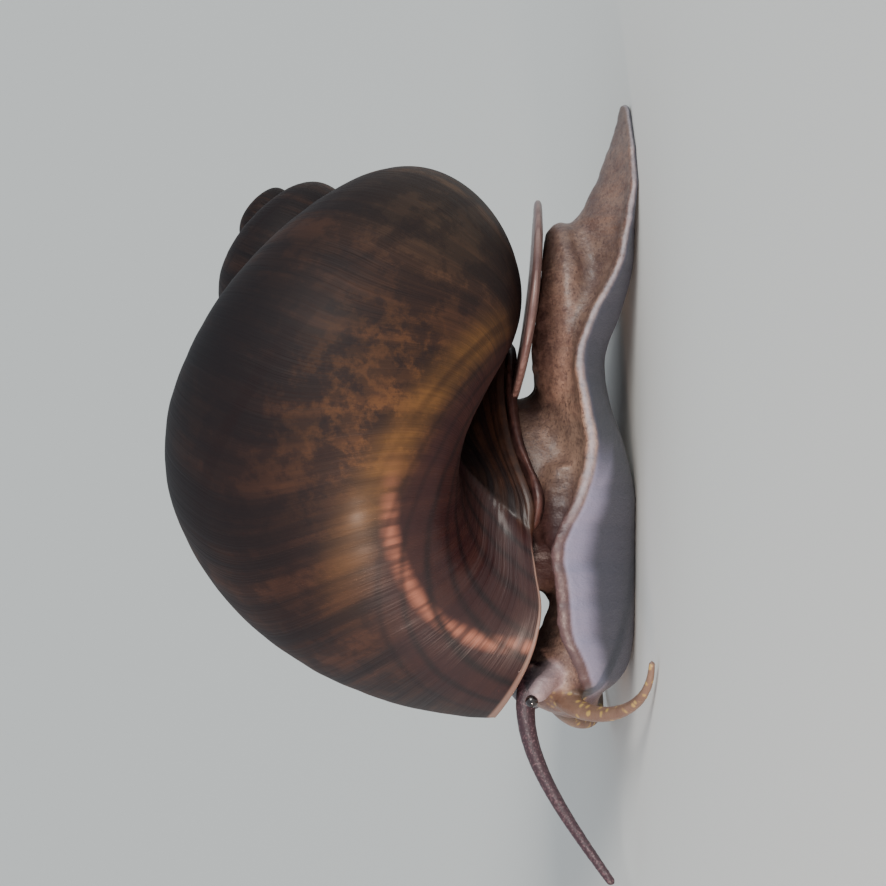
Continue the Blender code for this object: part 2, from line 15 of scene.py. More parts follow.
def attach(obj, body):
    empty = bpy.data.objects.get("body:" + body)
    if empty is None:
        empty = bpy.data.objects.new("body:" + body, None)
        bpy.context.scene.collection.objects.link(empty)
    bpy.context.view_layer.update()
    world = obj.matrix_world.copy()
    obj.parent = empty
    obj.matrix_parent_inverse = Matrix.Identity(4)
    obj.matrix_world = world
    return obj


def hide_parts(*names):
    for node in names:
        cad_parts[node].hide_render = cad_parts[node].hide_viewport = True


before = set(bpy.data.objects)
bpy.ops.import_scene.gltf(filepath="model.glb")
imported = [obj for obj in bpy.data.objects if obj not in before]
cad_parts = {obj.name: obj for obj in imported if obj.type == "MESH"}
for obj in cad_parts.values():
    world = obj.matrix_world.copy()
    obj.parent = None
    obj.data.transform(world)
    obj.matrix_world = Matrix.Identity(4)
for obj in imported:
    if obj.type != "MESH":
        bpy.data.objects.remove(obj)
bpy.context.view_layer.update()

MM = 0.001
DEGREE = math.pi / 180.0
ORIGIN = np.array((3.16, 4.7, 0.0))

# Coil of the shell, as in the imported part: lengths in millimetres, angles along the coil in degrees
SHELL_GROWTH = 2.55
SHELL_RADIUS = 13.9
SHELL_DROP = 32.0
SHELL_ACROSS = 13.0
SHELL_ALONG = 18.0
SHELL_TILT = math.radians(14.0)
SHELL_END = 1120.0
SHELL_NOD = math.radians(50.0)
SHELL_SWING = math.radians(53.0)
SHELL_ROLL = math.radians(5.0)
SHELL_LEAN = math.radians(7.0)
SHELL_SHIFT = (-34.7, 23.2, 5.0)
COIL_INPUTS = {
    "Growth each turn": SHELL_GROWTH,
    "Radius": SHELL_RADIUS,
    "Drop": SHELL_DROP,
    "Half across": SHELL_ACROSS,
    "Half along": SHELL_ALONG,
    "Tilt": SHELL_TILT,
}

# Wall of the shell at its lip and inside its mouth, and how far behind the lip it is at its full thickness
WALL_LIP = 0.8
WALL_DEEP = 1.1
WALL_FULL = 9.0

# Lip of the shell
LIP_LOW = -8.0
LIP_LOW_Y = -14.8
LIP_SLOPE = 0.17
LIP_BOW = 4.2
LIP_BOW_LENGTH = 10.5
LIP_BEHIND = 60.0
LIP_REACH = 137.0
LIP_STEP = 0.1
LIP_LINES = 28

# Lengths of the coil: end angle, sides and rings of each
COIL_ENDS = (205.0, 522.0, 839.0, SHELL_END)
COIL_SIDES = (150, 120, 80, 48)
COIL_RINGS = (290, 220, 120, 60)

# Where two lengths overlap, where the tip of the spire begins to close and by how much, and how far the tube
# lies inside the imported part's
COIL_OVERLAP = 5.0
OVERLAP_STEP = 0.02
OVERLAP_FADE = 12.0
COIL_TIP = 70.0
TIP_CLOSING = 0.97
SURFACE_SINK = 0.05

# Inside of the mouth and round of the lip: depth, rows, shortest step, and where the ridges begin
MOUTH_DEPTH = 24.0
MOUTH_ROWS = 14
LIP_ROWS = 8
LIP_LEAST_STEP = 0.12
LIP_FADE = 2.0

# Turns that the map of the coil looks through, how far past the lip and the tip it goes, and the distance
# that rules out what lies beyond
MAP_TURNS = range(-1, 4)
MAP_MARGINS = (2.0, 20.0)
FAR_OFF = 50.0

# Growth ridges: distance in degrees and height in millimetres of each size of ridge
RIDGES = ((34.0, 0.10), (11.0, 0.05), (4.0, 0.028))
RIDGE_SEED = 7

# Mantle: angles of its rings behind the lip, its rim, and the hollow and the bulge of its face
MANTLE_SIDES = 120
MANTLE_BACKS = (20.0, 15.0, 11.0, 8.5, 7.0, 6.0)
MANTLE_GAP = 0.35
MANTLE_RIM_BACK = 5.4
MANTLE_RIM_GAP = 1.0
MANTLE_HOLLOW = 1.3
MANTLE_BULGE = 2.2
MANTLE_SET_BACK = 1.1
MANTLE_SHARES = (0.06, 0.97, 22)
MANTLE_FOLDS = 0.25

# Foot: y, left edge, its height and thickness, right edge, its thickness, crest, end of the flat and height
# of the sole
FOOT_STATIONS = (
    (-23.4, 4.0, 4.2, 1.2, -4.0, 1.2, 5.0, 1.0, 3.4),
    (-22.4, 7.6, 4.2, 1.5, -7.6, 1.4, 5.0, 1.5, 1.9),
    (-20.5, 10.4, 5.0, 1.7, -10.2, 1.5, 4.8, 2.2, 0.5),
    (-17.5, 12.4, 6.5, 1.8, -12.0, 1.4, 5.2, 3.0, 0.0),
    (-13.5, 13.4, 7.0, 1.8, -12.8, 1.3, 6.2, 3.4, 0.0),
    (-9.5, 13.6, 7.4, 1.8, -12.8, 1.3, 7.9, 3.6, 0.0),
    (-5.0, 13.2, 5.4, 1.8, -12.4, 1.3, 8.2, 4.0, 0.0),
    (-0.5, 12.4, 4.3, 1.6, -11.7, 1.3, 8.3, 4.4, 1.0),
    (4.0, 11.3, 4.9, 1.4, -10.8, 1.2, 8.2, 4.4, 2.5),
    (8.0, 10.2, 5.3, 1.3, -9.9, 1.2, 7.9, 4.2, 2.8),
    (12.0, 9.2, 3.9, 1.2, -9.0, 1.1, 7.4, 4.0, 1.3),
    (16.0, 8.4, 1.7, 1.1, -8.2, 1.0, 6.5, 3.6, 0.2),
    (20.0, 7.6, 0.7, 1.0, -7.4, 1.0, 5.2, 3.2, 0.0),
    (24.0, 6.6, 0.0, 0.9, -6.1, 0.9, 3.2, 2.8, 0.0),
    (27.5, 4.4, 0.0, 0.8, -4.0, 0.8, 1.9, 1.6, 0.0),
    (30.0, 2.0, 0.1, 0.6, -1.9, 0.6, 1.2, 0.6, 0.0),
    (31.2, 0.6, 0.3, 0.5, -0.6, 0.5, 1.0, 0.1, 0.1),
)
FOOT_ROWS = 170
FOOT_SPOTS = 44
FOOT_WIDER = 0.2
RUFFLES = ((0.16, 1.9, 0.0), (0.12, 3.7, 1.0))

# Head: y, height of its middle, half width and half height; then the length of the snout's round end
HEAD_SECTIONS = (
    (-9.5, 4.8, 4.4, 1.8),
    (-12.0, 4.9, 4.9, 2.1),
    (-14.5, 5.0, 5.5, 2.2),
    (-17.0, 5.4, 5.9, 2.7),
    (-19.5, 6.2, 5.9, 3.4),
    (-21.5, 6.5, 5.5, 3.5),
    (-23.2, 6.3, 4.8, 3.1),
    (-24.4, 6.0, 3.8, 2.4),
    (-25.1, 5.8, 2.4, 1.4),
)
HEAD_ROWS = 90
HEAD_SIDES = 48
SNOUT_LENGTH = 1.3
SNOUT_LEAST = 0.25

# Neck: middle, half widths and heights
NECK_MIDDLE = (-3.0, -4.6)
NECK_HALVES = (8.0, 8.6)
NECK_SPAN = (4.8, 13.0)
NECK_ROWS = 26
NECK_SIDES = 72

# Feelers: root, two guides and tip, then the radius at the root and at the tip
FEELERS = {
    "tentacle_left": (((3.2, -20.5, 9.2), (4.4, -26.5, 12.2), (5.6, -33.0, 7.6), (8.2, -40.4, 2.6)),
                      1.0, 0.42),
    "tentacle_right": (((-3.2, -20.5, 8.6), (-6.5, -25.0, 7.4), (-16.0, -25.0, 7.0), (-27.0, -21.0, 9.0)),
                       1.0, 0.42),
    "palp_left": (((3.0, -23.0, 6.6), (7.0, -25.6, 5.8), (16.0, -25.9, 0.0), (20.6, -19.8, 0.7)), 1.05, 0.3),
    "palp_right": (((-3.0, -23.0, 6.6), (-7.0, -26.0, 5.2), (-14.0, -27.5, 0.0), (-18.0, -22.0, 0.7)),
                   1.05, 0.3),
    "stalk_left": (((4.0, -20.4, 7.0), (5.0, -21.6, 8.2), (5.8, -22.7, 9.2), (6.4, -23.6, 9.9)), 1.15, 0.95),
    "stalk_right": (((-4.2, -18.2, 7.0), (-5.6, -18.8, 7.8), (-6.9, -19.4, 8.3), (-7.8, -20.0, 8.6)),
                    1.15, 0.95),
}

# Names of the guides in the feelers' tree, sides and steps of a feeler, its flare and how soon that is gone,
# the least share of its width at the tip, and the part of a stalk that is drawn
GUIDE_NAMES = ("Root", "First guide", "Second guide", "Tip")
FEELER_SIDES = 20
FEELER_STEPS = 149
FEELER_FLARE = 0.35
FLARE_LENGTH = 1.6
TIP_LEAST = 0.12
STALK_PART = 0.97
BEND_SPOTS = 70
EYE_RADIUS = 0.6
EYE_LEVELS = (-0.998, 0.998, 25)
EYE_SIDES = 32

# Neck lobes: middle and side that they curl to, then their sizes
LOBES = (((4.7, -6.0, 6.9), 1.0), ((-10.7, -6.0, 5.2), -1.0))
LOBE_LENGTH = 8.0
LOBE_HEIGHT = 4.2
LOBE_THICKNESS = 0.9
LOBE_CURL = 2.7
LOBE_NARROWING = 0.45
LOBE_ROWS = 44
LOBE_SPOTS = 28

# Operculum on the axes of the shell's mouth, and the lobe that carries it
OPERCULUM_MIDDLE = (-9.0, 13.0, 0.5)
OPERCULUM_HALF_LENGTH = 12.6
OPERCULUM_HALF_WIDTH = 9.4
OPERCULUM_THICKNESS = 1.2
OPERCULUM_PITCH = math.radians(7.0)
OPERCULUM_DISH = 0.1
OPERCULUM_BOW = -0.7
OPERCULUM_EDGE = 0.94
OPERCULUM_SIDES = 160
OPERCULUM_ROWS = 60
OPERCULUM_RELIEFS = 90
OPERCULUM_RELIEF = 0.07
OPERCULUM_SINK = 0.06
OPERCULUM_SEED = 3
OPERCULUM_RINGS_PLACE = (1.8, 16.5, 8.9)
CARRIER_MIDDLE = (-0.5, 10.6, 6.3)
CARRIER_HALVES = (7.4, 9.8, 2.8)
CARRIER_LEVELS = (-0.995, 0.995, 40)
CARRIER_SIDES = 64
CARRIER_INSET = 0.05

# Skin: voxels before and after the feelers, smoothing inwards and back out, fillets, and the height under
# which the skin is laid level on the floor
BODY_VOXEL = 0.3
SKIN_VOXEL = 0.23
SMOOTH_IN = 0.5
SMOOTH_OUT = -0.52
FILLET = 0.7
FILLET_SINK = 0.02
GROUND_SNAP = (0.06, 0.004)

# Folds of the skin: closeness along each axis, seed and height; how calm they are on the feelers and below
FOLDS = (((0.30, 0.95, 0.45), 2.0, 0.11), ((0.9, 1.7, 1.2), 9.0, 0.06))
FOLDS_SINK = 0.05
FOLDS_CALMED = 0.85

# Mouth slit: place, width and depth, the swelling beside it, its reach along Y and Z, and the width of the
# painted shade along it
MOUTH_PLACE = (0.0, -24.6, 4.6)
SLIT_WIDTH = 0.30
SLIT_DEPTH = 0.65
LIPS_ASIDE = 0.75
LIPS_WIDTH = 0.32
LIPS_HEIGHT = 0.28
MOUTH_REACH = (1.4, 1.7)
MOUTH_SHADE_WIDTH = 0.35

# Masks of the skin: where each begins and where it ends, in millimetres or as the slope of the skin
MASK_STEPS = 400
FEELER_SKIN = (0.9, 1.6)
TENTACLE_SKIN = (1.0, 1.7)
PALP_SKIN = (1.1, 2.0)
STALK_SKIN = (1.1, 1.6)
FEELER_FRONT = -20.0
EDGE_SIDE = (-2.0, 4.0)
EDGE_TOP = (0.6, 1.0)
RIM_SLOPE = 0.32
RIM_REACH = (0.7, 1.3)
RIM_TOP = (0.0, 0.6)
RIM_ALONG = (-9.0, -3.0)
RIM_FRONT_SHARE = 0.12
UNDER_SLOPE = (-0.1, 0.35)
UNDER_TOP = (0.1, 0.5)
UNDER_FRONT = (-23.8, -21.5)
# Painted shade on the sole: dark slate away from the raised left edge and towards the back
SOLE_SHADE_REACH = (0.8, 3.4)
SOLE_SHADE_ALONG = (-5.0, 1.0)
MARGIN_REACH = (1.2, 3.0)
MARGIN_FRONT = (-18.0, -14.0)
MARGIN_NECK = (6.0, 9.5)
MARGIN_BACK = (-8.0, -2.0)

# Camera: level of the view, middle of the picture, distance and width seen, all in the model's place
VIEW_DOWN = math.radians(7.0)
VIEW_TARGET = Vector((1.07, 4.7, 17.03)) * MM
VIEW_DISTANCE = 2.0
VIEW_WIDTH = 0.08128
SENSOR = 36.0
CLIP = (0.01, 50.0)
VIEW_RIGHT = Vector((math.sin(VIEW_DOWN), 0.0, -math.cos(VIEW_DOWN)))
VIEW_UP = Vector((0.0, 1.0, 0.0))
VIEW_BACK = Vector((math.cos(VIEW_DOWN), 0.0, math.sin(VIEW_DOWN)))


# Meshes

def raw_mesh(name, points, faces):
    """Mesh from an array of points and a list of faces."""
    mesh = bpy.data.meshes.new(name)
    mesh.from_pydata(np.asarray(points, float).reshape(-1, 3).tolist(), [], [tuple(face) for face in faces])
    mesh.update()
    return mesh


def raw_object(name, mesh):
    """Object for a mesh, in the scene."""
    thing = bpy.data.objects.new(name, mesh)
    bpy.context.scene.collection.objects.link(thing)
    return thing


def grid_faces(rows, sides):
    """Faces between rows of points that close on themselves."""
    faces = []
    for low in range(0, (rows - 1) * sides, sides):
        high = low + sides
        for side in range(sides):
            after = (side + 1) % sides
            faces.append((low + side, low + after, high + after, high + side))
    return faces


def loft(rings):
    """Points and faces of a closed skin through rings of equally many points, with a fan over each end."""
    table = np.asarray(rings, float)
    rows, sides = table.shape[:2]
    ends = [table[0].mean(0), table[-1].mean(0)]
    points = np.vstack([table.reshape(-1, 3), ends])
    faces = grid_faces(rows, sides)
    start = rows * sides
    for side in range(sides):
        after = (side + 1) % sides
        faces.append((start, after, side))
        last = (rows - 1) * sides
        faces.append((start + 1, last + side, last + after))
    return points, faces


def corners(mesh):
    """Array of a mesh's points."""
    flat = np.empty(len(mesh.vertices) * 3)
    mesh.vertices.foreach_get("co", flat)
    return flat.reshape(-1, 3)


def facing_out(thing):
    """Turn the faces of a closed object outwards."""
    mesh = thing.data
    mesh.calc_loop_triangles()
    flat = np.empty(len(mesh.loop_triangles) * 3, np.int32)
    mesh.loop_triangles.foreach_get("vertices", flat)
    first, second, third = corners(mesh)[flat.reshape(-1, 3).T]
    if np.sum(first * np.cross(second, third)) < 0.0:
        mesh.flip_normals()
    return thing


def solid(name, rings):
    """Object with the closed skin through rings, its faces turned outwards."""
    return facing_out(raw_object(name, raw_mesh(name, *loft(rings))))


def set_corners(mesh, points):
    """Move a mesh's points."""
    mesh.vertices.foreach_set("co", np.asarray(points, np.float32).ravel())
    mesh.update()


def normals(mesh):
    """Array of the normals at a mesh's points."""
    flat = np.empty(len(mesh.vertices) * 3)
    mesh.vertex_normals.foreach_get("vector", flat)
    return flat.reshape(-1, 3)


def baked(thing):
    """Give an object the mesh that its modifiers make, and remove them."""
    bpy.context.view_layer.update()
    graph = bpy.context.evaluated_depsgraph_get()
    mesh = bpy.data.meshes.new_from_object(thing.evaluated_get(graph))
    thing.modifiers.clear()
    thing.data = mesh
    return thing


def joined(things):
    """One object from several, without merging their skins."""
    points = []
    faces = []
    for thing in things:
        first = len(points)
        points.extend(corners(thing.data).tolist())
        faces.extend(tuple(first + index for index in polygon.vertices) for polygon in thing.data.polygons)
        bpy.data.objects.remove(thing, do_unlink=True)
    return raw_object("joined", raw_mesh("joined", points, faces))


def remeshed(thing, voxel):
    """Replace overlapping skins by their common outside."""
    remesh = thing.modifiers.new("remesh", "REMESH")
    remesh.mode = "VOXEL"
    remesh.voxel_size = voxel
    return baked(thing)


def relaxed(mesh, rounds):
    """Smooth a mesh without shrinking it much."""
    edges = np.empty(len(mesh.edges) * 2, np.int64)
    mesh.edges.foreach_get("vertices", edges)
    first, second = edges.reshape(-1, 2).T
    points = corners(mesh)
    count = np.bincount(first, minlength=len(points)) + np.bincount(second, minlength=len(points))
    count = np.maximum(count, 1)[:, None]
    for step in range(2 * rounds):
        total = np.zeros_like(points)
        for axis in range(3):
            total[:, axis] += np.bincount(first, points[second, axis], len(points))
            total[:, axis] += np.bincount(second, points[first, axis], len(points))
        points = points + (total / count - points) * (SMOOTH_IN if step % 2 == 0 else SMOOTH_OUT)
    set_corners(mesh, points)


def hashed(points, scale, seed):
    """Smooth noise at each point, from about -1 to 1; scale may differ along the axes."""
    spots = np.asarray(points) * np.asarray(scale) + seed
    return np.array([noise.noise(Vector(spot)) for spot in spots])


def store(mesh, name, values):
    """Keep one number for each point of a mesh, for its material."""
    attribute = mesh.attributes.new(name, "FLOAT", "POINT")
    attribute.data.foreach_set("value", np.asarray(values, np.float32))


def publish(name, thing, nodes, material):
    """Turn a finished shape into a piece of the model."""
    mesh = thing.data
    set_corners(mesh, (corners(mesh) + ORIGIN) * MM)
    mesh.materials.clear()
    mesh.materials.append(material)
    mesh.shade_smooth()
    thing.name = name
    mesh.name = name
    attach(thing, "root")
    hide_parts(*nodes)


# Node trees

def maths(operation, swapped=False):
    """Method of Value for one operation of a maths node."""
    def method(self, *others):
        inputs = (*others, self) if swapped else (self, *others)
        return self.owner.node("ShaderNodeMath", {"operation": operation}, dict(enumerate(inputs)))
    return method


class Value:
    """Socket of a node that can be added, multiplied and so on; np.cos and np.sin call cos and sin."""

    def __init__(self, owner, socket):
        self.owner = owner
        self.socket = socket

    __add__ = __radd__ = maths("ADD")
    __mul__ = __rmul__ = maths("MULTIPLY")
    __sub__ = maths("SUBTRACT")
    __rsub__ = maths("SUBTRACT", swapped=True)
    __truediv__ = maths("DIVIDE")
    __rtruediv__ = maths("DIVIDE", swapped=True)
    __pow__ = maths("POWER")
    __rpow__ = maths("POWER", swapped=True)
    cos = maths("COSINE")
    sin = maths("SINE")
    root = maths("SQRT")
    exponent = maths("EXPONENT")
    magnitude = maths("ABSOLUTE")
    at_least = maths("MAXIMUM")

    def __neg__(self):
        return self * -1.0

    def clipped(self):
        """The value held between 0 and 1."""
        return self.owner.node("ShaderNodeClamp", None, {0: self})

    def ramp(self, low, high):
        """Share from 0 at low to 1 at high, eased."""
        settings = {"interpolation_type": "SMOOTHSTEP"}
        return self.owner.node("ShaderNodeMapRange", settings, {0: self, 1: low, 2: high})


def set_stops(ramp, stops):
    """Give a ramp its grey stops, each a place and a value."""
    ramp.interpolation = "EASE"
    while len(ramp.elements) < len(stops):
        ramp.elements.new(1.0)
    for element, (position, value) in zip(ramp.elements, stops):
        element.position = position
        element.color = (value, value, value, 1.0)


class Tree:
    """Node tree that is being put together."""

    def __init__(self, tree):
        self.tree = tree

    def feed(self, socket, value):
        if isinstance(value, Value):
            self.tree.links.new(value.socket, socket)
        else:
            socket.default_value = value

    def node(self, kind, settings=None, inputs=None, output=0):
        """Output of a new node, after its settings and then its inputs."""
        made = self.tree.nodes.new(kind)
        for name, value in (settings or {}).items():
            if name == "stops":
                set_stops(made.color_ramp, value)
            else:
                setattr(made, name, value)
        for name, value in (inputs or {}).items():
            self.feed(made.inputs[name], value)
        return Value(self, made.outputs[output])


class Shaper(Tree):
    """Geometry Nodes tree with named inputs for its sizes."""

    def __init__(self, name):
        super().__init__(bpy.data.node_groups.new(name, "GeometryNodeTree"))
        self.entry = self.tree.nodes.new("NodeGroupInput")
        self.start = self.named("Start", "Geometry")

    def named(self, name, kind="Float"):
        """Named input of the tree."""
        self.tree.interface.new_socket(name, in_out="INPUT", socket_type="NodeSocket" + kind)
        return Value(self, self.entry.outputs[name])

    def end(self, shape):
        """Close the tree with real meshes and one material."""
        self.tree.interface.new_socket("Shape", in_out="OUTPUT", socket_type="NodeSocketGeometry")
        whole = self.node("GeometryNodeRealizeInstances", None, {"Geometry": shape})
        inputs = {"Geometry": whole, "Material": self.named("Material", "Material")}
        output = self.tree.nodes.new("NodeGroupOutput")
        self.feed(output.inputs["Shape"], self.node("GeometryNodeSetMaterial", None, inputs))
        return self

    def run(self, thing, sizes):
        """Give an object the mesh that the tree makes of it, with a value for each named input."""
        modifier = thing.modifiers.new(self.tree.name, "NODES")
        modifier.node_group = self.tree
        for item in self.tree.interface.items_tree:
            if item.name in sizes:
                modifier[item.identifier] = sizes[item.name]
        return baked(thing)


class Recipe(Tree):
    """Material that is being put together."""

    def __init__(self, name):
        self.material = bpy.data.materials.new(name)
        self.material.use_nodes = True
        super().__init__(self.material.node_tree)
        self.shader = self.tree.nodes["Principled BSDF"]

    def place(self, stretch=(1.0, 1.0, 1.0)):
        """Place on the model in millimetres, stretched along its axes."""
        spot = self.node("ShaderNodeTexCoord", output="Object")
        scale = tuple(value / MM for value in stretch)
        return self.node("ShaderNodeVectorMath", {"operation": "MULTIPLY"}, {0: spot, 1: scale})

    def attribute(self, name):
        return self.node("ShaderNodeAttribute", {"attribute_name": name}, output="Fac")

    def noise(self, spot, scale, detail=3.0, roughness=0.55):
        inputs = {"Vector": spot, "Scale": scale, "Detail": detail, "Roughness": roughness}
        return self.node("ShaderNodeTexNoise", {"noise_dimensions": "3D"}, inputs)

    def cells(self, spot, scale):
        """Distance to the middle of the nearest cell."""
        return self.node("ShaderNodeTexVoronoi", {"feature": "F1"}, {"Vector": spot, "Scale": scale})

    def distance(self, middle):
        """Distance from a place on the model in millimetres."""
        offset = self.node("ShaderNodeVectorMath", {"operation": "SUBTRACT"}, {0: self.place(), 1: middle})
        return self.node("ShaderNodeVectorMath", {"operation": "LENGTH"}, {0: offset}, output="Value")

    def near(self, middle, reach):
        """Share that falls from 1 at a place on the model to 0 at a distance in millimetres."""
        return self.distance(middle).ramp(reach, 0.0)

    def mix(self, share, first, second):
        """Colour between two others."""
        inputs = {0: share, 6: self.colour(first), 7: self.colour(second)}
        return self.node("ShaderNodeMix", {"data_type": "RGBA"}, inputs, output=2)

    def layers(self, base, *coats):
        """Colour with others laid over it, each by its share."""
        for share, colour in coats:
            base = self.mix(share, base, colour)
        return base

    def colour(self, value):
        return value if isinstance(value, Value) else (*value, 1.0)

    def bump(self, height, distance, strength=1.0):
        inputs = {"Height": height, "Distance": distance * MM, "Strength": strength}
        return self.node("ShaderNodeBump", None, inputs)

    def done(self, **inputs):
        for name, value in inputs.items():
            self.feed(self.shader.inputs[name.replace("_", " ")], value)
        return self.material


# Shell

def mouth_axes():
    """Axes of the shell's mouth: out of it, towards the tail, and away from the left side."""
    return np.array((
        (math.sin(SHELL_LEAN), 0.0, -math.cos(SHELL_LEAN)),
        (0.0, 1.0, 0.0),
        (-math.cos(SHELL_LEAN), 0.0, -math.sin(SHELL_LEAN)),
    ))


def stand(points):
    """Turn points of the coil, whose axis is Z, to the way the shell is carried."""
    x, y, z = np.moveaxis(np.asarray(points, float), -1, 0)
    out = -y
    up = z * math.sin(SHELL_NOD) - x * math.cos(SHELL_NOD)
    away = z * math.cos(SHELL_NOD) + x * math.sin(SHELL_NOD)
    swung = out * math.cos(SHELL_SWING) - away * math.sin(SHELL_SWING)
    away = out * math.sin(SHELL_SWING) + away * math.cos(SHELL_SWING)
    rolled = swung * math.cos(SHELL_ROLL) - up * math.sin(SHELL_ROLL)
    up = swung * math.sin(SHELL_ROLL) + up * math.cos(SHELL_ROLL)
    placed = np.stack((rolled, up, away), axis=-1) + SHELL_SHIFT
    return placed @ mouth_axes()


def wound(back, around, grow, growth, radius, drop, across, along, tilt):
    """Place of a point of the tube on the coil's own axes, worked out from arrays or from sockets alike."""
    size = growth ** (-back / 360.0)
    turn = back * DEGREE
    angle = around * DEGREE
    aside = (across * size + grow) * np.cos(angle)
    above = (along * size + grow) * np.sin(angle)
    off_axis = radius * size + aside * np.cos(tilt) + above * np.sin(tilt)
    height = above * np.cos(tilt) - aside * np.sin(tilt) - drop * size
    return off_axis * np.cos(turn), off_axis * np.sin(turn), height


def shell_points(back, around, grow=0.0):
    """Points of the coiled tube: back from the lip in degrees, around its section in degrees."""
    spots = wound(np.asarray(back, float), np.asarray(around, float), grow, *COIL_INPUTS.values())
    return stand(np.stack(spots, axis=-1))


def winding_tree():
    """Tree that winds a flat sheet into the tube; the sheet's axes are back, around and grow."""
    make = Shaper("shell_winding")
    place = make.node("GeometryNodeInputPosition")
    flat = [make.node("ShaderNodeSeparateXYZ", None, {"Vector": place}, output=axis) for axis in "XYZ"]
    spot = wound(*flat, *(make.named(name) for name in COIL_INPUTS))
    position = make.node("ShaderNodeCombineXYZ", None, dict(enumerate(spot)))
    parts = {"Geometry": make.start, "Position": position}
    return make.end(make.node("GeometryNodeSetPosition", None, parts))


def sheet_ring(back, around, grow):
    """Ring of the flat sheet."""
    return np.stack(np.broadcast_arrays(back, around, grow), axis=-1)


def wound_solid(name, rings, tree, material):
    """Closed length of the shell, wound by the tree from the rings of a flat sheet."""
    sheet = raw_object(name, raw_mesh(name, *loft(rings)))
    thing = tree.run(sheet, {**COIL_INPUTS, "Material": material})
    points = stand(corners(thing.data))
    sides = len(rings[0])
    points[-2:] = points[:sides].mean(0), points[-2 - sides:-2].mean(0)
    set_corners(thing.data, points)
    return facing_out(thing)


def lip_table():
    """Angle of the lip on each line along the tube, where it meets the bowed plane of the mouth."""
    around = np.arange(LIP_LINES) * 360.0 / LIP_LINES
    back = np.arange(LIP_BEHIND, -LIP_REACH, -LIP_STEP)
    spots = shell_points(back[None, :], around[:, None])
    out = spots @ mouth_axes()[0]
    behind = np.maximum(0.0, spots[..., 1] - LIP_LOW_Y)
    ahead = np.maximum(0.0, LIP_LOW_Y - spots[..., 1]) / LIP_BOW_LENGTH
    past = out - LIP_LOW + LIP_SLOPE * behind + LIP_BOW * ahead ** 2 >= 0.0
    angles = back[np.argmax(past, axis=1)]
    missing = np.flatnonzero(~past.any(axis=1))
    first = missing[0] - 1
    last = missing[-1] + 1
    for side in missing:
        angles[side] = np.interp(side, (first, last), (angles[first], angles[last]))
    return angles


LIP_ANGLES = lip_table()


def eased(start, end, rise, fall, share):
    """Value on the smooth curve between two others, with these slopes at its ends."""
    cube = 2.0 * start - 2.0 * end + rise + fall
    square = -3.0 * start + 3.0 * end - 2.0 * rise - fall
    return ((cube * share + square) * share + rise) * share + start


def lip_angle(around):
    """Angle of the lip at any place round the tube, on a smooth curve through the table."""
    spot = (np.asarray(around, float) % 360.0) * LIP_LINES / 360.0
    low = np.floor(spot).astype(int)
    share = spot - low
    before, start, end, after = (LIP_ANGLES[(low + step) % LIP_LINES] for step in (-1, 0, 1, 2))
    return eased(start, end, 0.5 * (end - before), 0.5 * (after - start), share)


def growth_relief(age):
    """Height of the shell's growth ridges at an age, which is the angle behind the lip."""
    seeds = np.random.default_rng(RIDGE_SEED)
    total = 0.0
    for step, height in RIDGES:
        knots = np.arange(-60.0, SHELL_END + 200.0, step)
        heights = seeds.uniform(-1.0, 1.0, len(knots))
        spot = (np.asarray(age) - knots[0]) / step
        low = np.clip(np.floor(spot).astype(int), 0, len(knots) - 2)
        share = spot - low
        share = share * share * (3.0 - 2.0 * share)
        total = total + height * (heights[low] * (1.0 - share) + heights[low + 1] * share)
    return total


def last_whorl(tree, material):
    """Newest length of the shell, with its round lip and the inside of its mouth."""
    around = np.arange(COIL_SIDES[0]) * 360.0 / COIL_SIDES[0]
    lip = lip_angle(around)
    mm_per_degree = np.linalg.norm(shell_points(lip + 1.0, around) - shell_points(lip, around), axis=1)
    edge = 0.5 * WALL_LIP / np.maximum(mm_per_degree, LIP_LEAST_STEP)
    rings = []
    for depth in np.linspace(1.0, 0.0, MOUTH_ROWS) ** 1.5 * MOUTH_DEPTH:
        wall = WALL_LIP + (WALL_DEEP - WALL_LIP) * min(1.0, depth / WALL_FULL)
        rings.append(sheet_ring(lip + edge + depth, around, -wall))
    for step in range(1, LIP_ROWS):
        angle = math.pi * step / LIP_ROWS
        reach = 0.5 * WALL_LIP * (1.0 + math.cos(angle))
        rings.append(sheet_ring(lip + edge * (1.0 - math.sin(angle)), around, -reach))
    for share in np.linspace(0.0, 1.0, COIL_RINGS[0]):
        back = lip + edge + (COIL_ENDS[0] - lip - edge) * share
        fade = np.clip((back - lip - edge) / LIP_FADE, 0.0, 1.0)
        size = SHELL_GROWTH ** (-back / 360.0)
        rings.append(sheet_ring(back, around, growth_relief(back - lip) * fade * size - SURFACE_SINK))
    return wound_solid("last_whorl", rings, tree, material)


def older_length(number, tree, material):
    """One older length of the coil, a little smaller than the one before where they overlap."""
    sides = COIL_SIDES[number]
    around = np.arange(sides) * 360.0 / sides
    lip = lip_angle(around)
    start = COIL_ENDS[number - 1] - COIL_OVERLAP
    rings = []
    for back in np.linspace(start, COIL_ENDS[number], COIL_RINGS[number]):
        size = SHELL_GROWTH ** (-back / 360.0)
        relief = growth_relief(back - lip) * size - SURFACE_SINK
        relief -= OVERLAP_STEP * max(0.0, 1.0 - (back - start) / OVERLAP_FADE)
        left = (SHELL_END - back) / COIL_TIP
        if left < 1.0:
            closing = 1.0 - math.sqrt(max(0.0, 1.0 - (1.0 - left) ** 2))
            relief = relief - closing * SHELL_ACROSS * size * TIP_CLOSING
        rings.append(sheet_ring(back, around, relief))
    return wound_solid("older_length_%d" % number, rings, tree, material)


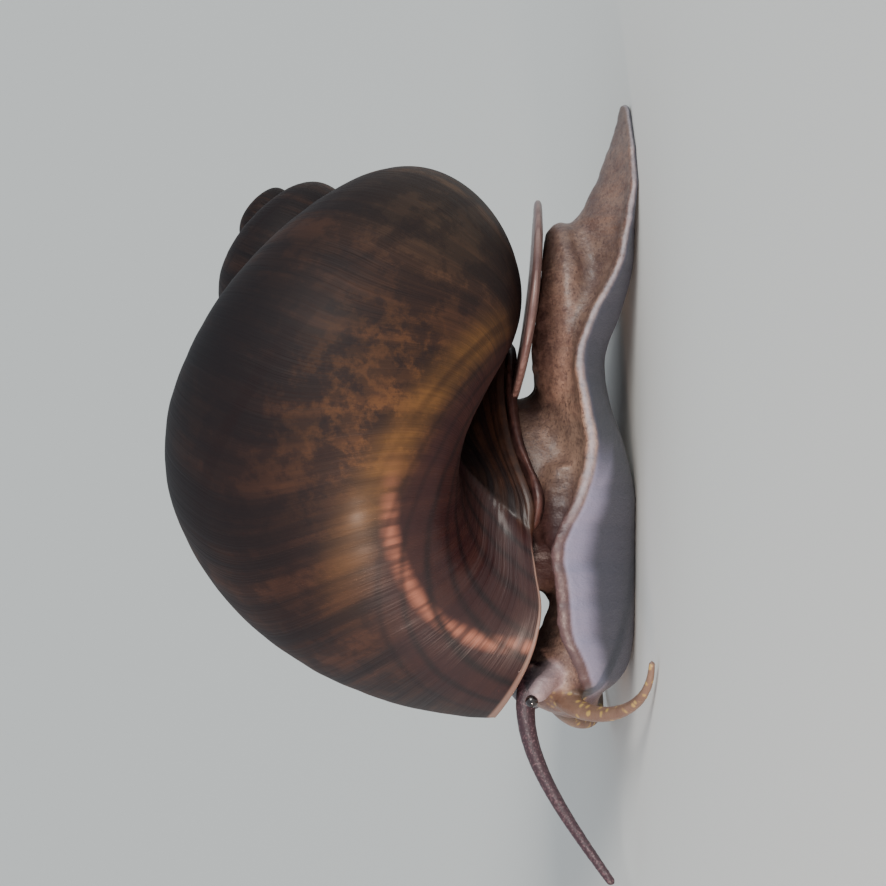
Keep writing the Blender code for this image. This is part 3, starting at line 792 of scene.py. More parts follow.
def add_coil_map(mesh):
    """Map the shell by age along its coil and by place round its section, both counted in turns."""
    origin = stand(np.zeros(3))
    axes = stand(np.eye(3)) - origin

    def unwound(spots):
        """Places on the coil's own axes, and their angles about its axis."""
        local = (spots - origin) @ axes.T
        return local, np.degrees(np.arctan2(local[:, 1], local[:, 0])) % 360.0

    def section(local, back):
        """Distance off the tube's skin and place round its section, for an angle of the coil."""
        size = SHELL_GROWTH ** (-back / 360.0)
        aside = np.hypot(local[:, 0], local[:, 1]) - SHELL_RADIUS * size
        above = local[:, 2] + SHELL_DROP * size
        across = (aside * math.cos(SHELL_TILT) - above * math.sin(SHELL_TILT)) / (SHELL_ACROSS * size)
        along = (aside * math.sin(SHELL_TILT) + above * math.cos(SHELL_TILT)) / (SHELL_ALONG * size)
        off = np.abs(np.hypot(across, along) - 1.0) * size * SHELL_ACROSS
        return off, np.degrees(np.arctan2(along, across))

    centres = np.empty(len(mesh.polygons) * 3)
    mesh.polygons.foreach_get("center", centres)
    local, turn = unwound(centres.reshape(-1, 3))
    tables = []
    for number in MAP_TURNS:
        back = turn + 360.0 * number
        off, around = section(local, back)
        outside = (back < lip_angle(around) - MAP_MARGINS[0]) | (back > SHELL_END + MAP_MARGINS[1])
        off = off + FAR_OFF * outside
        tables.append((off, back, around))
    best = np.argmin(np.stack([table[0] for table in tables]), axis=0)
    back = np.choose(best, [table[1] for table in tables])
    around = np.choose(best, [table[2] for table in tables])

    counts = np.empty(len(mesh.polygons), np.int64)
    mesh.polygons.foreach_get("loop_total", counts)
    owner = np.repeat(np.arange(len(counts)), counts)
    spots = np.empty(len(mesh.loops), np.int64)
    mesh.loops.foreach_get("vertex_index", spots)
    local, turn = unwound(corners(mesh)[spots])
    wrapped = back[owner] + (turn - back[owner] + 180.0) % 360.0 - 180.0
    corner_around = section(local, wrapped)[1]
    turned = around[owner] + (corner_around - around[owner] + 180.0) % 360.0 - 180.0
    age = wrapped - lip_angle(turned)
    layer = mesh.uv_layers.new(name="coil")
    layer.data.foreach_set("uv", np.stack((age / 360.0, turned / 360.0), axis=1).astype(np.float32).ravel())


def make_shell(material):
    """Whole shell as one skin."""
    tree = winding_tree()
    shell = last_whorl(tree, material)
    group = bpy.data.collections.new("older")
    bpy.context.scene.collection.children.link(group)
    older = [older_length(number, tree, material) for number in range(1, len(COIL_SIDES))]
    for thing in older:
        group.objects.link(thing)
    union = shell.modifiers.new("union", "BOOLEAN")
    union.operation = "UNION"
    union.operand_type = "COLLECTION"
    union.collection = group
    union.solver = "MANIFOLD"
    baked(shell)
    for thing in older:
        bpy.data.objects.remove(thing, do_unlink=True)
    bpy.data.collections.remove(group)
    add_coil_map(shell.data)
    publish("shell_look", shell, ["shell"], material)


def make_mantle(material):
    """Soft plug of the shell's mouth, with a thick collar just behind the lip."""
    around = np.arange(MANTLE_SIDES) * 360.0 / MANTLE_SIDES
    lip = lip_angle(around)
    rings = [shell_points(lip + back, around, -WALL_DEEP - MANTLE_GAP) for back in MANTLE_BACKS]
    rim = shell_points(lip + MANTLE_RIM_BACK, around, -WALL_DEEP - MANTLE_RIM_GAP)
    rings.append(rim)
    middle = rim.mean(0)
    out = mouth_axes()[0]
    for share in np.linspace(*MANTLE_SHARES):
        hollow = MANTLE_HOLLOW * math.sin(math.pi * min(1.0, share * 2.2)) - MANTLE_BULGE * share
        rings.append(rim + (middle - rim) * share - out * (hollow + MANTLE_SET_BACK))
    mantle = solid("mantle", rings)
    points = corners(mantle.data)
    folds = hashed(points, (0.35, 0.35, 0.35), 4.0) * MANTLE_FOLDS
    set_corners(mantle.data, points + normals(mantle.data) * folds[:, None])
    publish("mantle_look", mantle, ["mantle"], material)


# Flesh

def between(stations, y):
    """Values of a table of stations at y, on a smooth curve through its rows."""
    last = len(stations) - 2
    row = max(0, min(last, sum(1 for station in stations[1:] if station[0] <= y)))
    low = stations[row]
    high = stations[row + 1]
    before = stations[max(row - 1, 0)]
    after = stations[min(row + 2, last + 1)]
    span = high[0] - low[0]
    values = []
    for column in range(1, len(low)):
        rise = (high[column] - before[column]) / (high[0] - before[0]) * span
        fall = (after[column] - low[column]) / (after[0] - low[0]) * span
        values.append(eased(low[column], high[column], rise, fall, (y - low[0]) / span))
    return values


def foot_ring(y):
    """Outline of the foot across one station, from its left edge under the sole and back over the top."""
    left, lift, left_edge, right, right_edge, crest, flat, sole = between(FOOT_STATIONS, y)
    sole = max(sole, 0.0)
    lift = max(lift, sole)
    ruffle = sum(height * math.sin(pace * y + start) for height, pace, start in RUFFLES)
    left = left - FOOT_WIDER + ruffle
    right = right + FOOT_WIDER - 0.8 * ruffle
    middle = 0.1 * (left + right)
    ring = []
    for x in np.linspace(left, right, FOOT_SPOTS):
        rise = max(0.0, (x - flat) / (left - flat)) if left > flat else 0.0
        ring.append((x, y, sole + (lift - sole) * rise ** 1.5))
    ring.append((right - 0.22 * right_edge, y, sole + 0.5 * right_edge))
    for x in np.linspace(right, left, FOOT_SPOTS):
        share = (x - right) / (left - right)
        base = sole + right_edge + (lift + left_edge - sole - right_edge) * share ** 2
        reach = (x - middle) / ((left if x > middle else right) - middle)
        bump = 0.5 + 0.5 * math.cos(math.pi * reach)
        ring.append((x, y, base + max(0.0, crest - base) * bump))
    ring.append((left + 0.22 * left_edge, y, lift + 0.5 * left_edge))
    return ring


def head_ring(y):
    """Outline of the head across one station, closing round the snout."""
    height, half_width, half_height = between(HEAD_SECTIONS[::-1], y)
    left = (y - HEAD_SECTIONS[-1][0]) / SNOUT_LENGTH
    if left < 1.0:
        closing = SNOUT_LEAST + (1.0 - SNOUT_LEAST) * math.sqrt(max(0.0, 1.0 - (1.0 - left) ** 2))
        half_width *= closing
        half_height *= closing
    angles = np.arange(HEAD_SIDES) * 2.0 * math.pi / HEAD_SIDES
    z = half_height * np.sin(angles) * (1.0 - 0.10 * np.cos(2.0 * angles))
    return np.stack((half_width * np.cos(angles), np.full(HEAD_SIDES, y), height + z), axis=1)


def neck_ring(share):
    """Outline of the neck, from the foot up into the shell's mouth."""
    widen = 1.0 + 0.12 * (1.0 - share) ** 2
    angles = np.arange(NECK_SIDES) * 2.0 * math.pi / NECK_SIDES
    height = NECK_SPAN[0] + (NECK_SPAN[1] - NECK_SPAN[0]) * share
    x = NECK_MIDDLE[0] + NECK_HALVES[0] * widen * np.cos(angles)
    y = NECK_MIDDLE[1] + NECK_HALVES[1] * widen * np.sin(angles)
    return np.stack((x, y, np.full(NECK_SIDES, height)), axis=1)


def ball(levels, sides):
    """Rings of a ball of radius 1 at several levels."""
    angles = np.arange(sides) * 2.0 * math.pi / sides
    rings = []
    for level in levels:
        reach = math.sqrt(1.0 - level * level)
        ring = (reach * np.cos(angles), reach * np.sin(angles), np.full(sides, level))
        rings.append(np.stack(ring, axis=1))
    return rings


def make_carrier():
    """Lobe on the back of the foot that carries the operculum, flattened where it meets it."""
    rings = []
    axes = mouth_axes()
    middle = np.array(OPERCULUM_MIDDLE) @ axes
    for ring in ball(np.linspace(*CARRIER_LEVELS), CARRIER_SIDES):
        ring = ring * CARRIER_HALVES + CARRIER_MIDDLE
        local = (ring - middle) @ axes.T
        along = local[:, 1] / OPERCULUM_HALF_WIDTH
        across = local[:, 2] / OPERCULUM_HALF_LENGTH
        dish = OPERCULUM_DISH * (along ** 2 + across ** 2) + OPERCULUM_BOW * along ** 2
        limit = 0.5 * OPERCULUM_THICKNESS - CARRIER_INSET + dish + local[:, 1] * math.sin(OPERCULUM_PITCH)
        ring = ring + np.maximum(0.0, limit - local[:, 0])[:, None] * axes[0]
        rings.append(ring)
    return solid("carrier", rings)


def make_lobe(middle, side):
    """Thin flap of the neck, curled along its length like a gutter."""
    rings = []
    for share in np.linspace(0.0, 1.0, LOBE_ROWS):
        along = (share - 0.5) * LOBE_LENGTH
        narrow = 1.0 - LOBE_NARROWING * (2.0 * share - 1.0) ** 2
        angles = np.linspace(-0.5, 0.5, LOBE_SPOTS) * LOBE_CURL
        ring = []
        for sheet, order in ((0.5, 1), (-0.5, -1)):
            radius = 0.5 * LOBE_HEIGHT + sheet * LOBE_THICKNESS
            for angle in angles[::order]:
                x = side * radius * math.cos(angle)
                z = radius * math.sin(angle) * narrow
                ring.append((middle[0] + x, middle[1] + along, middle[2] + z))
        rings.append(ring)
    return solid("lobe", rings)


def bend_points(guides, shares):
    """Points of the smooth bend through four guides."""
    root, first, second, tip = (np.array(guide) for guide in guides)
    share = np.asarray(shares, float)[:, None]
    rest = 1.0 - share
    guided = first * 3 * rest ** 2 * share + second * 3 * rest * share ** 2
    return root * rest ** 3 + guided + tip * share ** 3


def shortened(guides, share):
    """Guides of the first part of a bend."""
    points = np.array(guides)
    kept = [points[0]]
    while len(points) > 1:
        points = points[:-1] + (points[1:] - points[:-1]) * share
        kept.append(points[0])
    return kept


def feeler_tree():
    """Tree that draws a tapered tube along a bend, flared at its root and round at its tip."""
    make = Shaper("feeler_tube")
    root, first, second, tip = (make.named(name, "Vector") for name in GUIDE_NAMES)
    root_radius, tip_radius, flare = (make.named(name) for name in ("Root radius", "Tip radius", "Flare"))
    sides, steps = (make.named(name, "Int") for name in ("Sides", "Steps"))
    guides = {"Resolution": steps, "Start": root, "Start Handle": first, "End Handle": second, "End": tip}
    bend = make.node("GeometryNodeCurvePrimitiveBezierSegment", {"mode": "POSITION"}, guides)
    path = make.node("GeometryNodeResampleCurve", {"mode": "EVALUATED"}, {"Curve": bend})
    run = make.node("GeometryNodeSplineParameter", output="Length")
    share = make.node("GeometryNodeSplineParameter", output="Index") / steps
    length = make.node("GeometryNodeSplineLength", output="Length")
    radius = root_radius + (tip_radius - root_radius) * share
    radius = radius * (1.0 + flare * (run * (-1.0 / FLARE_LENGTH)).exponent())
    rounding = (1.0 - (length - run) / radius).clipped()
    radius = radius * (1.0 - rounding * rounding).root().at_least(TIP_LEAST)
    circle = make.node("GeometryNodeCurvePrimitiveCircle", None, {"Resolution": sides, "Radius": 1.0})
    parts = {"Curve": path, "Profile Curve": circle, "Scale": radius, "Fill Caps": True}
    return make.end(make.node("GeometryNodeCurveToMesh", None, parts))


def make_feeler(name, guides, root_radius, tip_radius, tree, material):
    """Tapered feeler; a stalk ends just before the middle of its eye and has no flare."""
    stalk = name.startswith("stalk")
    kept = shortened(guides, STALK_PART if stalk else 1.0)
    sizes = {title: tuple(map(float, guide)) for title, guide in zip(GUIDE_NAMES, kept)}
    sizes |= {"Root radius": root_radius, "Tip radius": tip_radius, "Flare": 0.0 if stalk else FEELER_FLARE}
    sizes |= {"Sides": FEELER_SIDES, "Steps": FEELER_STEPS, "Material": material}
    return facing_out(tree.run(raw_object(name, bpy.data.meshes.new(name)), sizes))


def closed_up(thing, distance, voxel):
    """Fill the creases of a shape with fillets, by swelling it and shrinking it again."""
    remeshed(thing, voxel)
    relaxed(thing.data, 3)
    set_corners(thing.data, corners(thing.data) + normals(thing.data) * distance)
    remeshed(thing, voxel)
    relaxed(thing.data, 4)
    set_corners(thing.data, corners(thing.data) - normals(thing.data) * (distance + FILLET_SINK))
    relaxed(thing.data, 2)
    return thing


def distance_to_bend(points, guides):
    """Distance of each point to a bend's middle line."""
    best = np.full(len(points), 1e9)
    for spot in bend_points(guides, np.linspace(0.0, 1.0, BEND_SPOTS)):
        best = np.minimum(best, np.linalg.norm(points - spot, axis=1))
    return best


def smooth_step(low, high, values):
    """Share from 0 at low to 1 at high, eased at both ends."""
    share = np.clip((np.asarray(values) - low) / (high - low), 0.0, 1.0)
    return share * share * (3.0 - 2.0 * share)


def make_skin(material):
    """One skin over foot, neck, head, lobes and feelers."""
    foot_start = FOOT_STATIONS[0][0]
    foot_end = FOOT_STATIONS[-1][0]
    snout = HEAD_SECTIONS[-1][0]
    parts = [
        solid("foot", [foot_ring(y) for y in np.linspace(foot_start + 0.1, foot_end - 0.05, FOOT_ROWS)]),
        solid("neck", [neck_ring(share) for share in np.linspace(0.0, 1.0, NECK_ROWS)]),
        solid("head", [head_ring(y) for y in np.linspace(snout, HEAD_SECTIONS[0][0], HEAD_ROWS)]),
        make_carrier(),
    ]
    parts += [make_lobe(middle, side) for middle, side in LOBES]
    body = closed_up(joined(parts), FILLET, BODY_VOXEL)
    tree = feeler_tree()
    feelers = [make_feeler(name, *sizes, tree, material) for name, sizes in FEELERS.items()]
    skin = remeshed(joined([body, *feelers]), SKIN_VOXEL)
    relaxed(skin.data, 4)
    points = corners(skin.data)
    out = normals(skin.data)

    near = {name: distance_to_bend(points, sizes[0]) for name, sizes in FEELERS.items()}
    tentacle = np.minimum(near["tentacle_left"], near["tentacle_right"])
    palp = np.minimum(near["palp_left"], near["palp_right"])
    feeler = 1.0 - smooth_step(*FEELER_SKIN, np.minimum(tentacle, palp))
    front = points[:, 1] < FEELER_FRONT
    tentacle_share = np.where(front, 1.0 - smooth_step(*TENTACLE_SKIN, tentacle), 0.0)
    palp_share = np.where(front, 1.0 - smooth_step(*PALP_SKIN, palp), 0.0)

    y = np.clip(points[:, 1], foot_start, foot_end)
    grid = np.linspace(foot_start, foot_end, MASK_STEPS)
    table = np.array([between(FOOT_STATIONS, value) for value in grid])
    left, lift, left_edge, right, right_edge = (np.interp(y, grid, table[:, column]) for column in range(5))
    from_left = left - points[:, 0]
    from_right = points[:, 0] - right
    edge = np.minimum(from_left, from_right)
    level = points[:, 2] - lift * smooth_step(*EDGE_SIDE, points[:, 0])
    low = (1.0 - smooth_step(*EDGE_TOP, level - left_edge)) * (1.0 - feeler)
    rim = np.exp(-(out[:, 2] / RIM_SLOPE) ** 2) * (1.0 - smooth_step(*RIM_REACH, edge)) * low
    rim = rim * (1.0 - smooth_step(*RIM_TOP, level - left_edge))
    rim = rim * (RIM_FRONT_SHARE + (1.0 - RIM_FRONT_SHARE) * smooth_step(*RIM_ALONG, points[:, 1]))
    under = smooth_step(*UNDER_SLOPE, -out[:, 2]) * low * (1.0 - smooth_step(*UNDER_TOP, level))
    under = under * smooth_step(*UNDER_FRONT, points[:, 1])
    # painted shade: the sole turns dark slate deeper under the foot and further back
    under_deep = smooth_step(*SOLE_SHADE_REACH, from_left)
    under_deep = np.maximum(under_deep, smooth_step(*SOLE_SHADE_ALONG, points[:, 1]))
    beside_edge = (1.0 - smooth_step(*MARGIN_REACH, from_left)) * low
    beside_neck = smooth_step(*MARGIN_FRONT, points[:, 1]) * (1.0 - smooth_step(*MARGIN_NECK, from_left))
    margin = np.maximum(beside_edge, beside_neck)
    margin = margin * (1.0 - smooth_step(*MARGIN_BACK, points[:, 1])) * (1.0 - under)

    calm = 1.0 - FOLDS_CALMED * np.maximum(feeler, under)
    folds = sum(hashed(points, scale, seed) * height for scale, seed, height in FOLDS)
    aside, ahead, above = (points - MOUTH_PLACE).T
    slit = SLIT_DEPTH * np.exp(-(aside / SLIT_WIDTH) ** 2)
    slit = slit - LIPS_HEIGHT * np.exp(-((np.abs(aside) - LIPS_ASIDE) / LIPS_WIDTH) ** 2)
    mouth = np.exp(-np.hypot(ahead / MOUTH_REACH[0], above / MOUTH_REACH[1]) ** 4)
    shift = (folds - FOLDS_SINK) * calm - slit * mouth
    points = points + out * shift[:, None]
    points[:, 2] = np.where(points[:, 2] < GROUND_SNAP[0], GROUND_SNAP[1], points[:, 2])
    set_corners(skin.data, points)

    stalk = np.minimum(near["stalk_left"], near["stalk_right"])
    masks = {
        "rim": rim,
        "margin": margin,
        "under": under,
        "under_deep": under_deep,
        "tentacle": tentacle_share,
        "palp": palp_share,
        "stalk": 1.0 - smooth_step(*STALK_SKIN, stalk),
        # painted shade along the mouth slit
        "mouth": mouth * np.exp(-(points[:, 0] / MOUTH_SHADE_WIDTH) ** 2),
    }
    for name, values in masks.items():
        store(skin.data, name, values)
    starts = ("foot_", "neck", "head", "tentacle_", "palp_", "eye_stalk_", "operculum_lobe")
    nodes = [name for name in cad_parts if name.startswith(starts)]
    publish("skin", skin, sorted(nodes), material)


def make_eye(side, guides, material):
    """Round black eye in the tip of its stalk."""
    unit = ball(np.linspace(*EYE_LEVELS), EYE_SIDES)
    rings = [ring * EYE_RADIUS + np.array(guides[-1]) for ring in unit]
    publish("eye_look_" + side, solid("eye", rings), ["eye_" + side], material)


def make_operculum(material):
    """Thin horny door with fine rings of growth."""
    reaches = np.concatenate((np.linspace(0.02, 0.97, OPERCULUM_ROWS), (0.985, 0.995)))
    angles = np.arange(OPERCULUM_SIDES) * 2.0 * math.pi / OPERCULUM_SIDES
    heights = np.random.default_rng(OPERCULUM_SEED).uniform(-0.5, 0.5, OPERCULUM_RELIEFS)
    rings = []
    for face_side, order in ((-1.0, reaches), (1.0, reaches[::-1])):
        for reach in order:
            thickness = OPERCULUM_THICKNESS * (1.0 - 0.35 * reach ** 4)
            past = max(0.0, reach - OPERCULUM_EDGE) / (1.0 - OPERCULUM_EDGE)
            closing = math.sqrt(max(0.0, 1.0 - past ** 2))
            relief = np.interp(reach * OPERCULUM_ROWS, np.arange(OPERCULUM_RELIEFS), heights)
            half = (0.5 * thickness - OPERCULUM_SINK + relief * OPERCULUM_RELIEF) * closing
            along = OPERCULUM_HALF_WIDTH * reach * np.sin(angles)
            across = OPERCULUM_HALF_LENGTH * reach * np.cos(angles) * (1.0 - 0.12 * np.sin(angles))
            out = face_side * half + OPERCULUM_DISH * reach ** 2 + along * math.sin(OPERCULUM_PITCH)
            out = out + OPERCULUM_BOW * (along / OPERCULUM_HALF_WIDTH) ** 2
            spots = np.stack((out, along * math.cos(OPERCULUM_PITCH), across), axis=1) + OPERCULUM_MIDDLE
            rings.append(spots @ mouth_axes())
    publish("operculum_look", solid("operculum", rings), ["operculum"], material)


# Materials

# Spiral bands of the shell beside its mouth: place round the section in degrees, half width, strength
BANDS = (
    (-137.0, 2.2, 0.9),
    (-125.0, 2.0, 0.9),
    (-114.0, 2.4, 0.8),
    (-101.0, 2.0, 1.0),
    (-91.0, 2.2, 0.9),
    (-77.0, 2.4, 0.9),
    (-64.0, 1.8, 0.7),
    (-54.0, 1.6, 0.5),
)
BAND_SPAN = (-150.0, -45.0)
BAND_FADE = 1.6

# Parts of the shell with a colour of their own: place on the model and how far each reaches, in millimetres
AMBER_PLACE = (22.5, 7.0, 25.0)
AMBER_REACH = 15.0
TOP_PLACE = (14.0, 25.0, 19.0)
TOP_REACH = 12.0
DARK_PLACE = (8.0, 12.0, 44.0)
DARK_REACH = 33.0
GLOSS_PLACE = (15.0, -9.5, 15.5)
GLOSS_REACH = 19.0

# The same in turns along the coil and round its section
MAROON_PLACE = (-0.13, -0.18)
MAROON_END = (-0.46, -0.40)
GOLD_PLACE = -0.117
GOLD_HALF = 0.045
GOLD_AGES = (0.16, 0.32, 0.46, 0.62)
# Painted highlight: a warm, ribbed streak of lighter colour on the body whorl, where a lamp's reflection lies
HIGHLIGHT_STREAK_START = -0.273
HIGHLIGHT_STREAK_SLOPE = 0.443
HIGHLIGHT_STREAK_HALF = 0.016
HIGHLIGHT_STREAK_AGES = (0.24, 0.36)
LIP_AGES = (0.006, 0.010)
LIP_START = (-0.41, -0.36)
LIP_STOP = (0.38, 0.30)


def shell_material():
    """Dark brown horn, streaked along its growth, with darker spiral bands and a painted highlight streak;
    glossy only beside its mouth.
    """
    make = Recipe("shell_horn")
    coil = make.node("ShaderNodeUVMap", {"uv_map": "coil"})
    age, place = (make.node("ShaderNodeSeparateXYZ", None, {"Vector": coil}, output=axis) for axis in "XY")
    turn = place * math.tau
    ring = make.node("ShaderNodeCombineXYZ", None, {0: age, 1: turn.cos(), 2: turn.sin()})
    spot = make.place()

    def along(age_scale, place_scale, detail=3.0, roughness=0.55):
        """Noise stretched along the coil or round it; it joins where the turns start again."""
        scales = (age_scale, place_scale / math.tau, place_scale / math.tau)
        vector = make.node("ShaderNodeVectorMath", {"operation": "MULTIPLY"}, {0: ring, 1: scales})
        return make.noise(vector, 1.0, detail, roughness)

    streaks = along(34.0, 2.2, 4.0, 0.6).ramp(0.40, 0.70)
    fine = along(420.0, 7.0, 3.0, 0.6)
    ribs = along(150.0, 4.0, 2.0)
    ribbing = along(95.0, 2.0, 1.0).ramp(0.40, 0.60)
    mottle = make.noise(spot, 0.24, 6.0, 0.70).ramp(0.44, 0.57)
    swirls = (make.noise(spot, 0.20, 5.0, 0.62) - 0.5).magnitude().ramp(0.075, 0.0)
    wander = (along(9.0, 4.0, 2.0) - 0.5) * 0.014
    worn = along(5.0, 9.0, 3.0, 0.6).ramp(0.38, 0.62)

    low, high = BAND_SPAN
    share = (place + wander) * (360.0 / (high - low)) - low / (high - low)
    stops = []
    for middle, half, strength in BANDS:
        for offset, value in ((-BAND_FADE, 0.0), (0.0, strength), (BAND_FADE, 0.0)):
            stops.append(((middle + offset * half - low) / (high - low), value))
    bands = make.node("ShaderNodeValToRGB", {"stops": stops}, {0: share})
    maroon = place.ramp(*MAROON_PLACE) * place.ramp(*MAROON_END)
    other_bands = along(0.6, 26.0, 1.0).ramp(0.52, 0.64) * (1.0 - maroon)

    gold = (place - GOLD_PLACE + wander).magnitude().ramp(GOLD_HALF, 0.0)
    gold = gold * age.ramp(GOLD_AGES[0], GOLD_AGES[1]) * age.ramp(GOLD_AGES[3], GOLD_AGES[2])
    # Painted highlight: lighter warm colour in a streak along the spiral, broken by growth ribs
    painted_highlight = (place - (age * HIGHLIGHT_STREAK_SLOPE + HIGHLIGHT_STREAK_START) + wander).magnitude().ramp(HIGHLIGHT_STREAK_HALF, 0.0)
    painted_highlight = painted_highlight * age.ramp(HIGHLIGHT_STREAK_AGES[1], HIGHLIGHT_STREAK_AGES[0])
    top = make.near(TOP_PLACE, TOP_REACH)
    gloss = make.near(GLOSS_PLACE, GLOSS_REACH)

    light = make.near(AMBER_PLACE, AMBER_REACH) * (1.0 - mottle * 0.7) * (1.0 - maroon * 0.8)
    lip = age.ramp(LIP_AGES[1], LIP_AGES[0]) * place.ramp(*LIP_START) * place.ramp(*LIP_STOP)
    base = make.layers(
        make.mix(streaks, (0.012, 0.006, 0.006), (0.052, 0.022, 0.013)),
        (light * (0.25 + 0.35 * streaks + 0.40 * swirls), (0.130, 0.055, 0.018)),
        (top * (0.30 + 0.60 * streaks), (0.098, 0.057, 0.032)),
        (mottle * 0.55 * (1.0 - maroon), (0.008, 0.004, 0.005)),
        (gold * (0.35 + 0.45 * streaks), (0.155, 0.075, 0.020)),
        (make.near(DARK_PLACE, DARK_REACH) * 0.85, (0.005, 0.004, 0.006)),
        (maroon * 0.75, (0.026, 0.007, 0.008)),
        # painted highlight streak, pinkish and ribbed
        (painted_highlight * (0.18 + 0.52 * ribbing), (0.38, 0.145, 0.090)),
        ((other_bands * (0.25 + 0.35 * worn)).clipped(), (0.008, 0.003, 0.004)),
        ((bands * (0.6 + 0.4 * worn)).clipped(), (0.005, 0.002, 0.003)),
        (lip * (0.65 + 0.3 * fine), (0.28, 0.180, 0.145)),
    )
    return make.done(
        Base_Color=base,
        Roughness=0.56 - 0.30 * gloss + 0.14 * fine,
        Specular_IOR_Level=0.25,
        Coat_Weight=0.01 + 0.6 * gloss,
        Coat_Roughness=0.26,
        Normal=make.bump(fine * 0.7 + ribs * 0.9, 0.10, 0.9),
    )


# Parts of the skin coloured apart from the rest: place on the model and how far each reaches, in millimetres.
# The flank's lighter colour is painted light and the throat's dark is painted shade
# Painted light: the flank is lighter where light falls on it
FLANK_PAINTED_LIGHT_PLACE = (12.5, 5.5, 6.5)
FLANK_PAINTED_LIGHT_REACH = 11.0
TAIL_PLACE = (2.0, 36.5, 1.0)
TAIL_REACH = 9.0
LOBE_PLACE = (4.0, 15.0, 9.5)
LOBE_REACH = 8.0
# Painted shade: the neck under the shell's lip is painted near black
THROAT_PAINTED_SHADE_PLACE = (6.5, -5.5, 9.0)
THROAT_PAINTED_SHADE_REACH = 9.5


def flesh_material():
    """Moist brown skin, flecked, with a pale rim and a lilac-grey sole; painted shade darkens the sole,
    throat and mouth slit, and painted light brightens the flank.
    """
    make = Recipe("snail_skin")
    spot = make.place()
    blotch = make.noise(spot, 0.30, 4.0, 0.6).ramp(0.35, 0.68)
    patches = make.noise(make.place((1.3, 0.8, 1.0)), 0.75, 5.0, 0.7).ramp(0.46, 0.60)
    flecks = make.noise(make.place((1.5, 0.9, 1.2)), 2.8, 4.0, 0.7).ramp(0.52, 0.62)
    grains = make.noise(spot, 6.5, 3.0, 0.6).ramp(0.50, 0.70)
    wrinkles = make.noise(make.place((0.55, 1.5, 0.8)), 1.1, 5.0, 0.62)
    # Sole: lilac-grey, painted dark slate where it lies in shade
    sole = make.mix(make.attribute("under_deep"), (0.27, 0.26, 0.38), (0.055, 0.058, 0.082))
    dots = make.noise(spot, 4.2, 3.0, 0.6).ramp(0.52, 0.64)
    spots = make.cells(spot, 1.15).ramp(0.38, 0.16)
    tan = make.mix(blotch, (0.205, 0.125, 0.085), (0.150, 0.085, 0.060))
    base = make.layers(
        make.mix(blotch, (0.205, 0.130, 0.100), (0.118, 0.071, 0.059)),
        # painted light on the flank
        (make.near(FLANK_PAINTED_LIGHT_PLACE, FLANK_PAINTED_LIGHT_REACH) * (0.75 - 0.35 * blotch), (0.46, 0.285, 0.205)),
        (make.near(TAIL_PLACE, TAIL_REACH) * 0.7, (0.105, 0.092, 0.090)),
        (patches * 0.50, (0.088, 0.050, 0.046)),
        (make.near(LOBE_PLACE, LOBE_REACH) * 0.55, (0.080, 0.045, 0.048)),
        (flecks * 0.66, (0.055, 0.030, 0.031)),
        (grains * 0.24, (0.42, 0.30, 0.25)),
        # painted shade on the neck under the shell's lip
        (make.near(THROAT_PAINTED_SHADE_PLACE, THROAT_PAINTED_SHADE_REACH) * 0.95, (0.034, 0.014, 0.016)),
        (make.attribute("margin") * 0.8, (0.066, 0.033, 0.038)),
        (make.attribute("under"), sole),
        (make.attribute("rim") * 0.62, (0.42, 0.40, 0.46)),
        (make.attribute("tentacle"), make.mix(dots, (0.040, 0.020, 0.028), (0.115, 0.066, 0.078))),
        (make.attribute("palp"), make.mix(spots * 0.75, tan, (0.52, 0.36, 0.10))),
        (make.attribute("stalk") * 0.6, (0.36, 0.28, 0.31)),
        # painted shade in the mouth slit
        (make.attribute("mouth") * 0.8, (0.05, 0.02, 0.02)),
    )
    height = wrinkles + make.noise(spot, 3.2, 4.0, 0.65) * 0.45
    return make.done(
        Base_Color=base,
        Roughness=0.40 + 0.16 * grains,
        Coat_Weight=0.12,
        Coat_Roughness=0.28,
        Normal=make.bump(height, 0.16, 0.8),
    )


def mantle_material():
    """Dark soft edge of the mantle."""
    make = Recipe("mantle_flesh")
    spot = make.place()
    blotch = make.noise(spot, 0.5, 4.0, 0.6).ramp(0.35, 0.7)
    base = make.mix(blotch, (0.105, 0.048, 0.040), (0.048, 0.020, 0.020))
    return make.done(Base_Color=base, Roughness=0.42, Normal=make.bump(make.noise(spot, 1.4, 4.0), 0.15, 0.7))


def operculum_material():
    """Pinkish brown horn with darker rings."""
    make = Recipe("operculum_horn")
    spot = make.place()
    reach = make.distance(OPERCULUM_RINGS_PLACE)
    inputs = {"W": reach, "Scale": 1.9, "Detail": 4.0}
    rings = make.node("ShaderNodeTexNoise", {"noise_dimensions": "1D"}, inputs)
    cloud = make.noise(spot, 0.5, 4.0, 0.6)
    base = make.mix(rings.ramp(0.35, 0.65), (0.120, 0.064, 0.060), (0.240, 0.150, 0.135))
    base = make.mix(cloud.ramp(0.45, 0.75) * 0.5, base, (0.075, 0.040, 0.042))
    return make.done(Base_Color=base, Roughness=0.42, Coat_Weight=0.2, Normal=make.bump(rings, 0.12, 0.7))


def eye_material():
    """Wet black."""
    make = Recipe("eye_black")
    cloud = make.noise(make.place(), 1.5, 2.0)
    base = make.mix(cloud, (0.004, 0.003, 0.004), (0.02, 0.012, 0.012))
    return make.done(Base_Color=base, Roughness=0.12, Coat_Weight=1.0, Coat_Roughness=0.03)


# Studio: places are along the camera's axes, from the middle of the picture, in metres

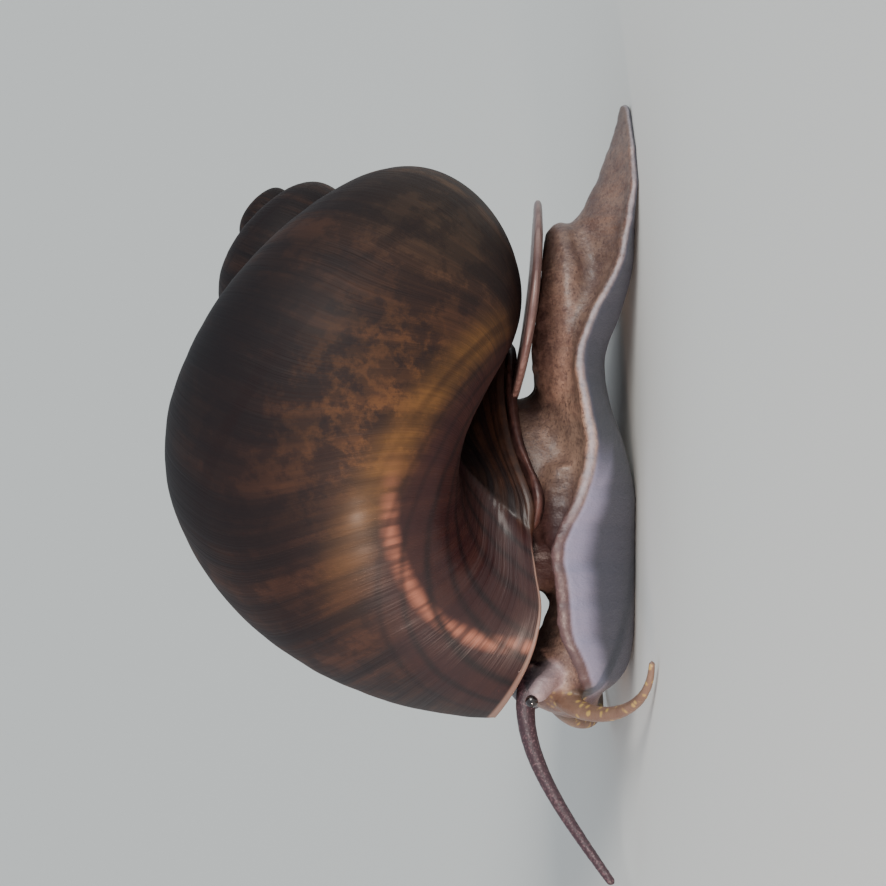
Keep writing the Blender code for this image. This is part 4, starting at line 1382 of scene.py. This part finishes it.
FLOOR_HALF = 12.0
FLOOR_CORNERS = ((-1, -1), (1, -1), (1, 1), (-1, 1))
FLOOR_COLOUR = (0.80, 0.82, 0.80, 1.0)
WORLD_COLOUR = (0.80, 0.86, 0.92, 1.0)
WORLD_STRENGTH = 0.65
KEY_PLACE = (-0.11, 0.21, 0.30)
KEY_POWER = 2.6
KEY_ANGLE = math.radians(28.0)
KEY_COLOUR = (1.0, 0.96, 0.90)
LOW_PLACE = (0.028, -0.26, 0.26)
LOW_SIZE = 0.03
LOW_POWER = 1.4
LOW_COLOUR = (1.0, 0.76, 0.64)


def view_place(right, up, back):
    """Point of the studio from its distances along the camera's axes."""
    return VIEW_TARGET + VIEW_RIGHT * right + VIEW_UP * up + VIEW_BACK * back


def lamp(name, kind, place, power, colour, **sizes):
    """Lamp that looks at the snail."""
    light = bpy.data.lights.new(name, kind)
    light.energy = power
    light.color = colour
    for size, value in sizes.items():
        setattr(light, size, value)
    thing = raw_object(name, light)
    thing.location = view_place(*place)
    thing.rotation_euler = (VIEW_TARGET - thing.location).to_track_quat("-Z", "Y").to_euler()


def make_studio():
    """Camera, floor and lamps."""
    lens = bpy.data.cameras.new("camera")
    lens.sensor_width = SENSOR
    lens.lens = SENSOR * VIEW_DISTANCE / VIEW_WIDTH
    lens.clip_start, lens.clip_end = CLIP
    camera = raw_object("camera", lens)
    turned = Matrix((VIEW_RIGHT, VIEW_UP, VIEW_BACK)).transposed().to_4x4()
    camera.matrix_world = Matrix.Translation(view_place(0.0, 0.0, VIEW_DISTANCE)) @ turned
    bpy.context.scene.camera = camera

    sheet = [(across * FLOOR_HALF, along * FLOOR_HALF, 0.0) for across, along in FLOOR_CORNERS]
    mesh = raw_mesh("floor", sheet, [(0, 1, 2, 3)])
    mesh.materials.append(Recipe("studio_paper").done(Base_Color=FLOOR_COLOUR, Roughness=0.9))
    raw_object("floor", mesh)

    world = bpy.data.worlds.new("studio")
    world.use_nodes = True
    background = world.node_tree.nodes["Background"].inputs
    background["Color"].default_value = WORLD_COLOUR
    background["Strength"].default_value = WORLD_STRENGTH
    bpy.context.scene.world = world

    lamp("key", "SUN", KEY_PLACE, KEY_POWER, KEY_COLOUR, angle=KEY_ANGLE)
    lamp("low", "AREA", LOW_PLACE, LOW_POWER, LOW_COLOUR, shape="SQUARE", size=LOW_SIZE)


def main():
    make_studio()
    make_shell(shell_material())
    make_mantle(mantle_material())
    make_operculum(operculum_material())
    make_skin(flesh_material())
    black = eye_material()
    make_eye("left", FEELERS["stalk_left"][0], black)
    make_eye("right", FEELERS["stalk_right"][0], black)


main()
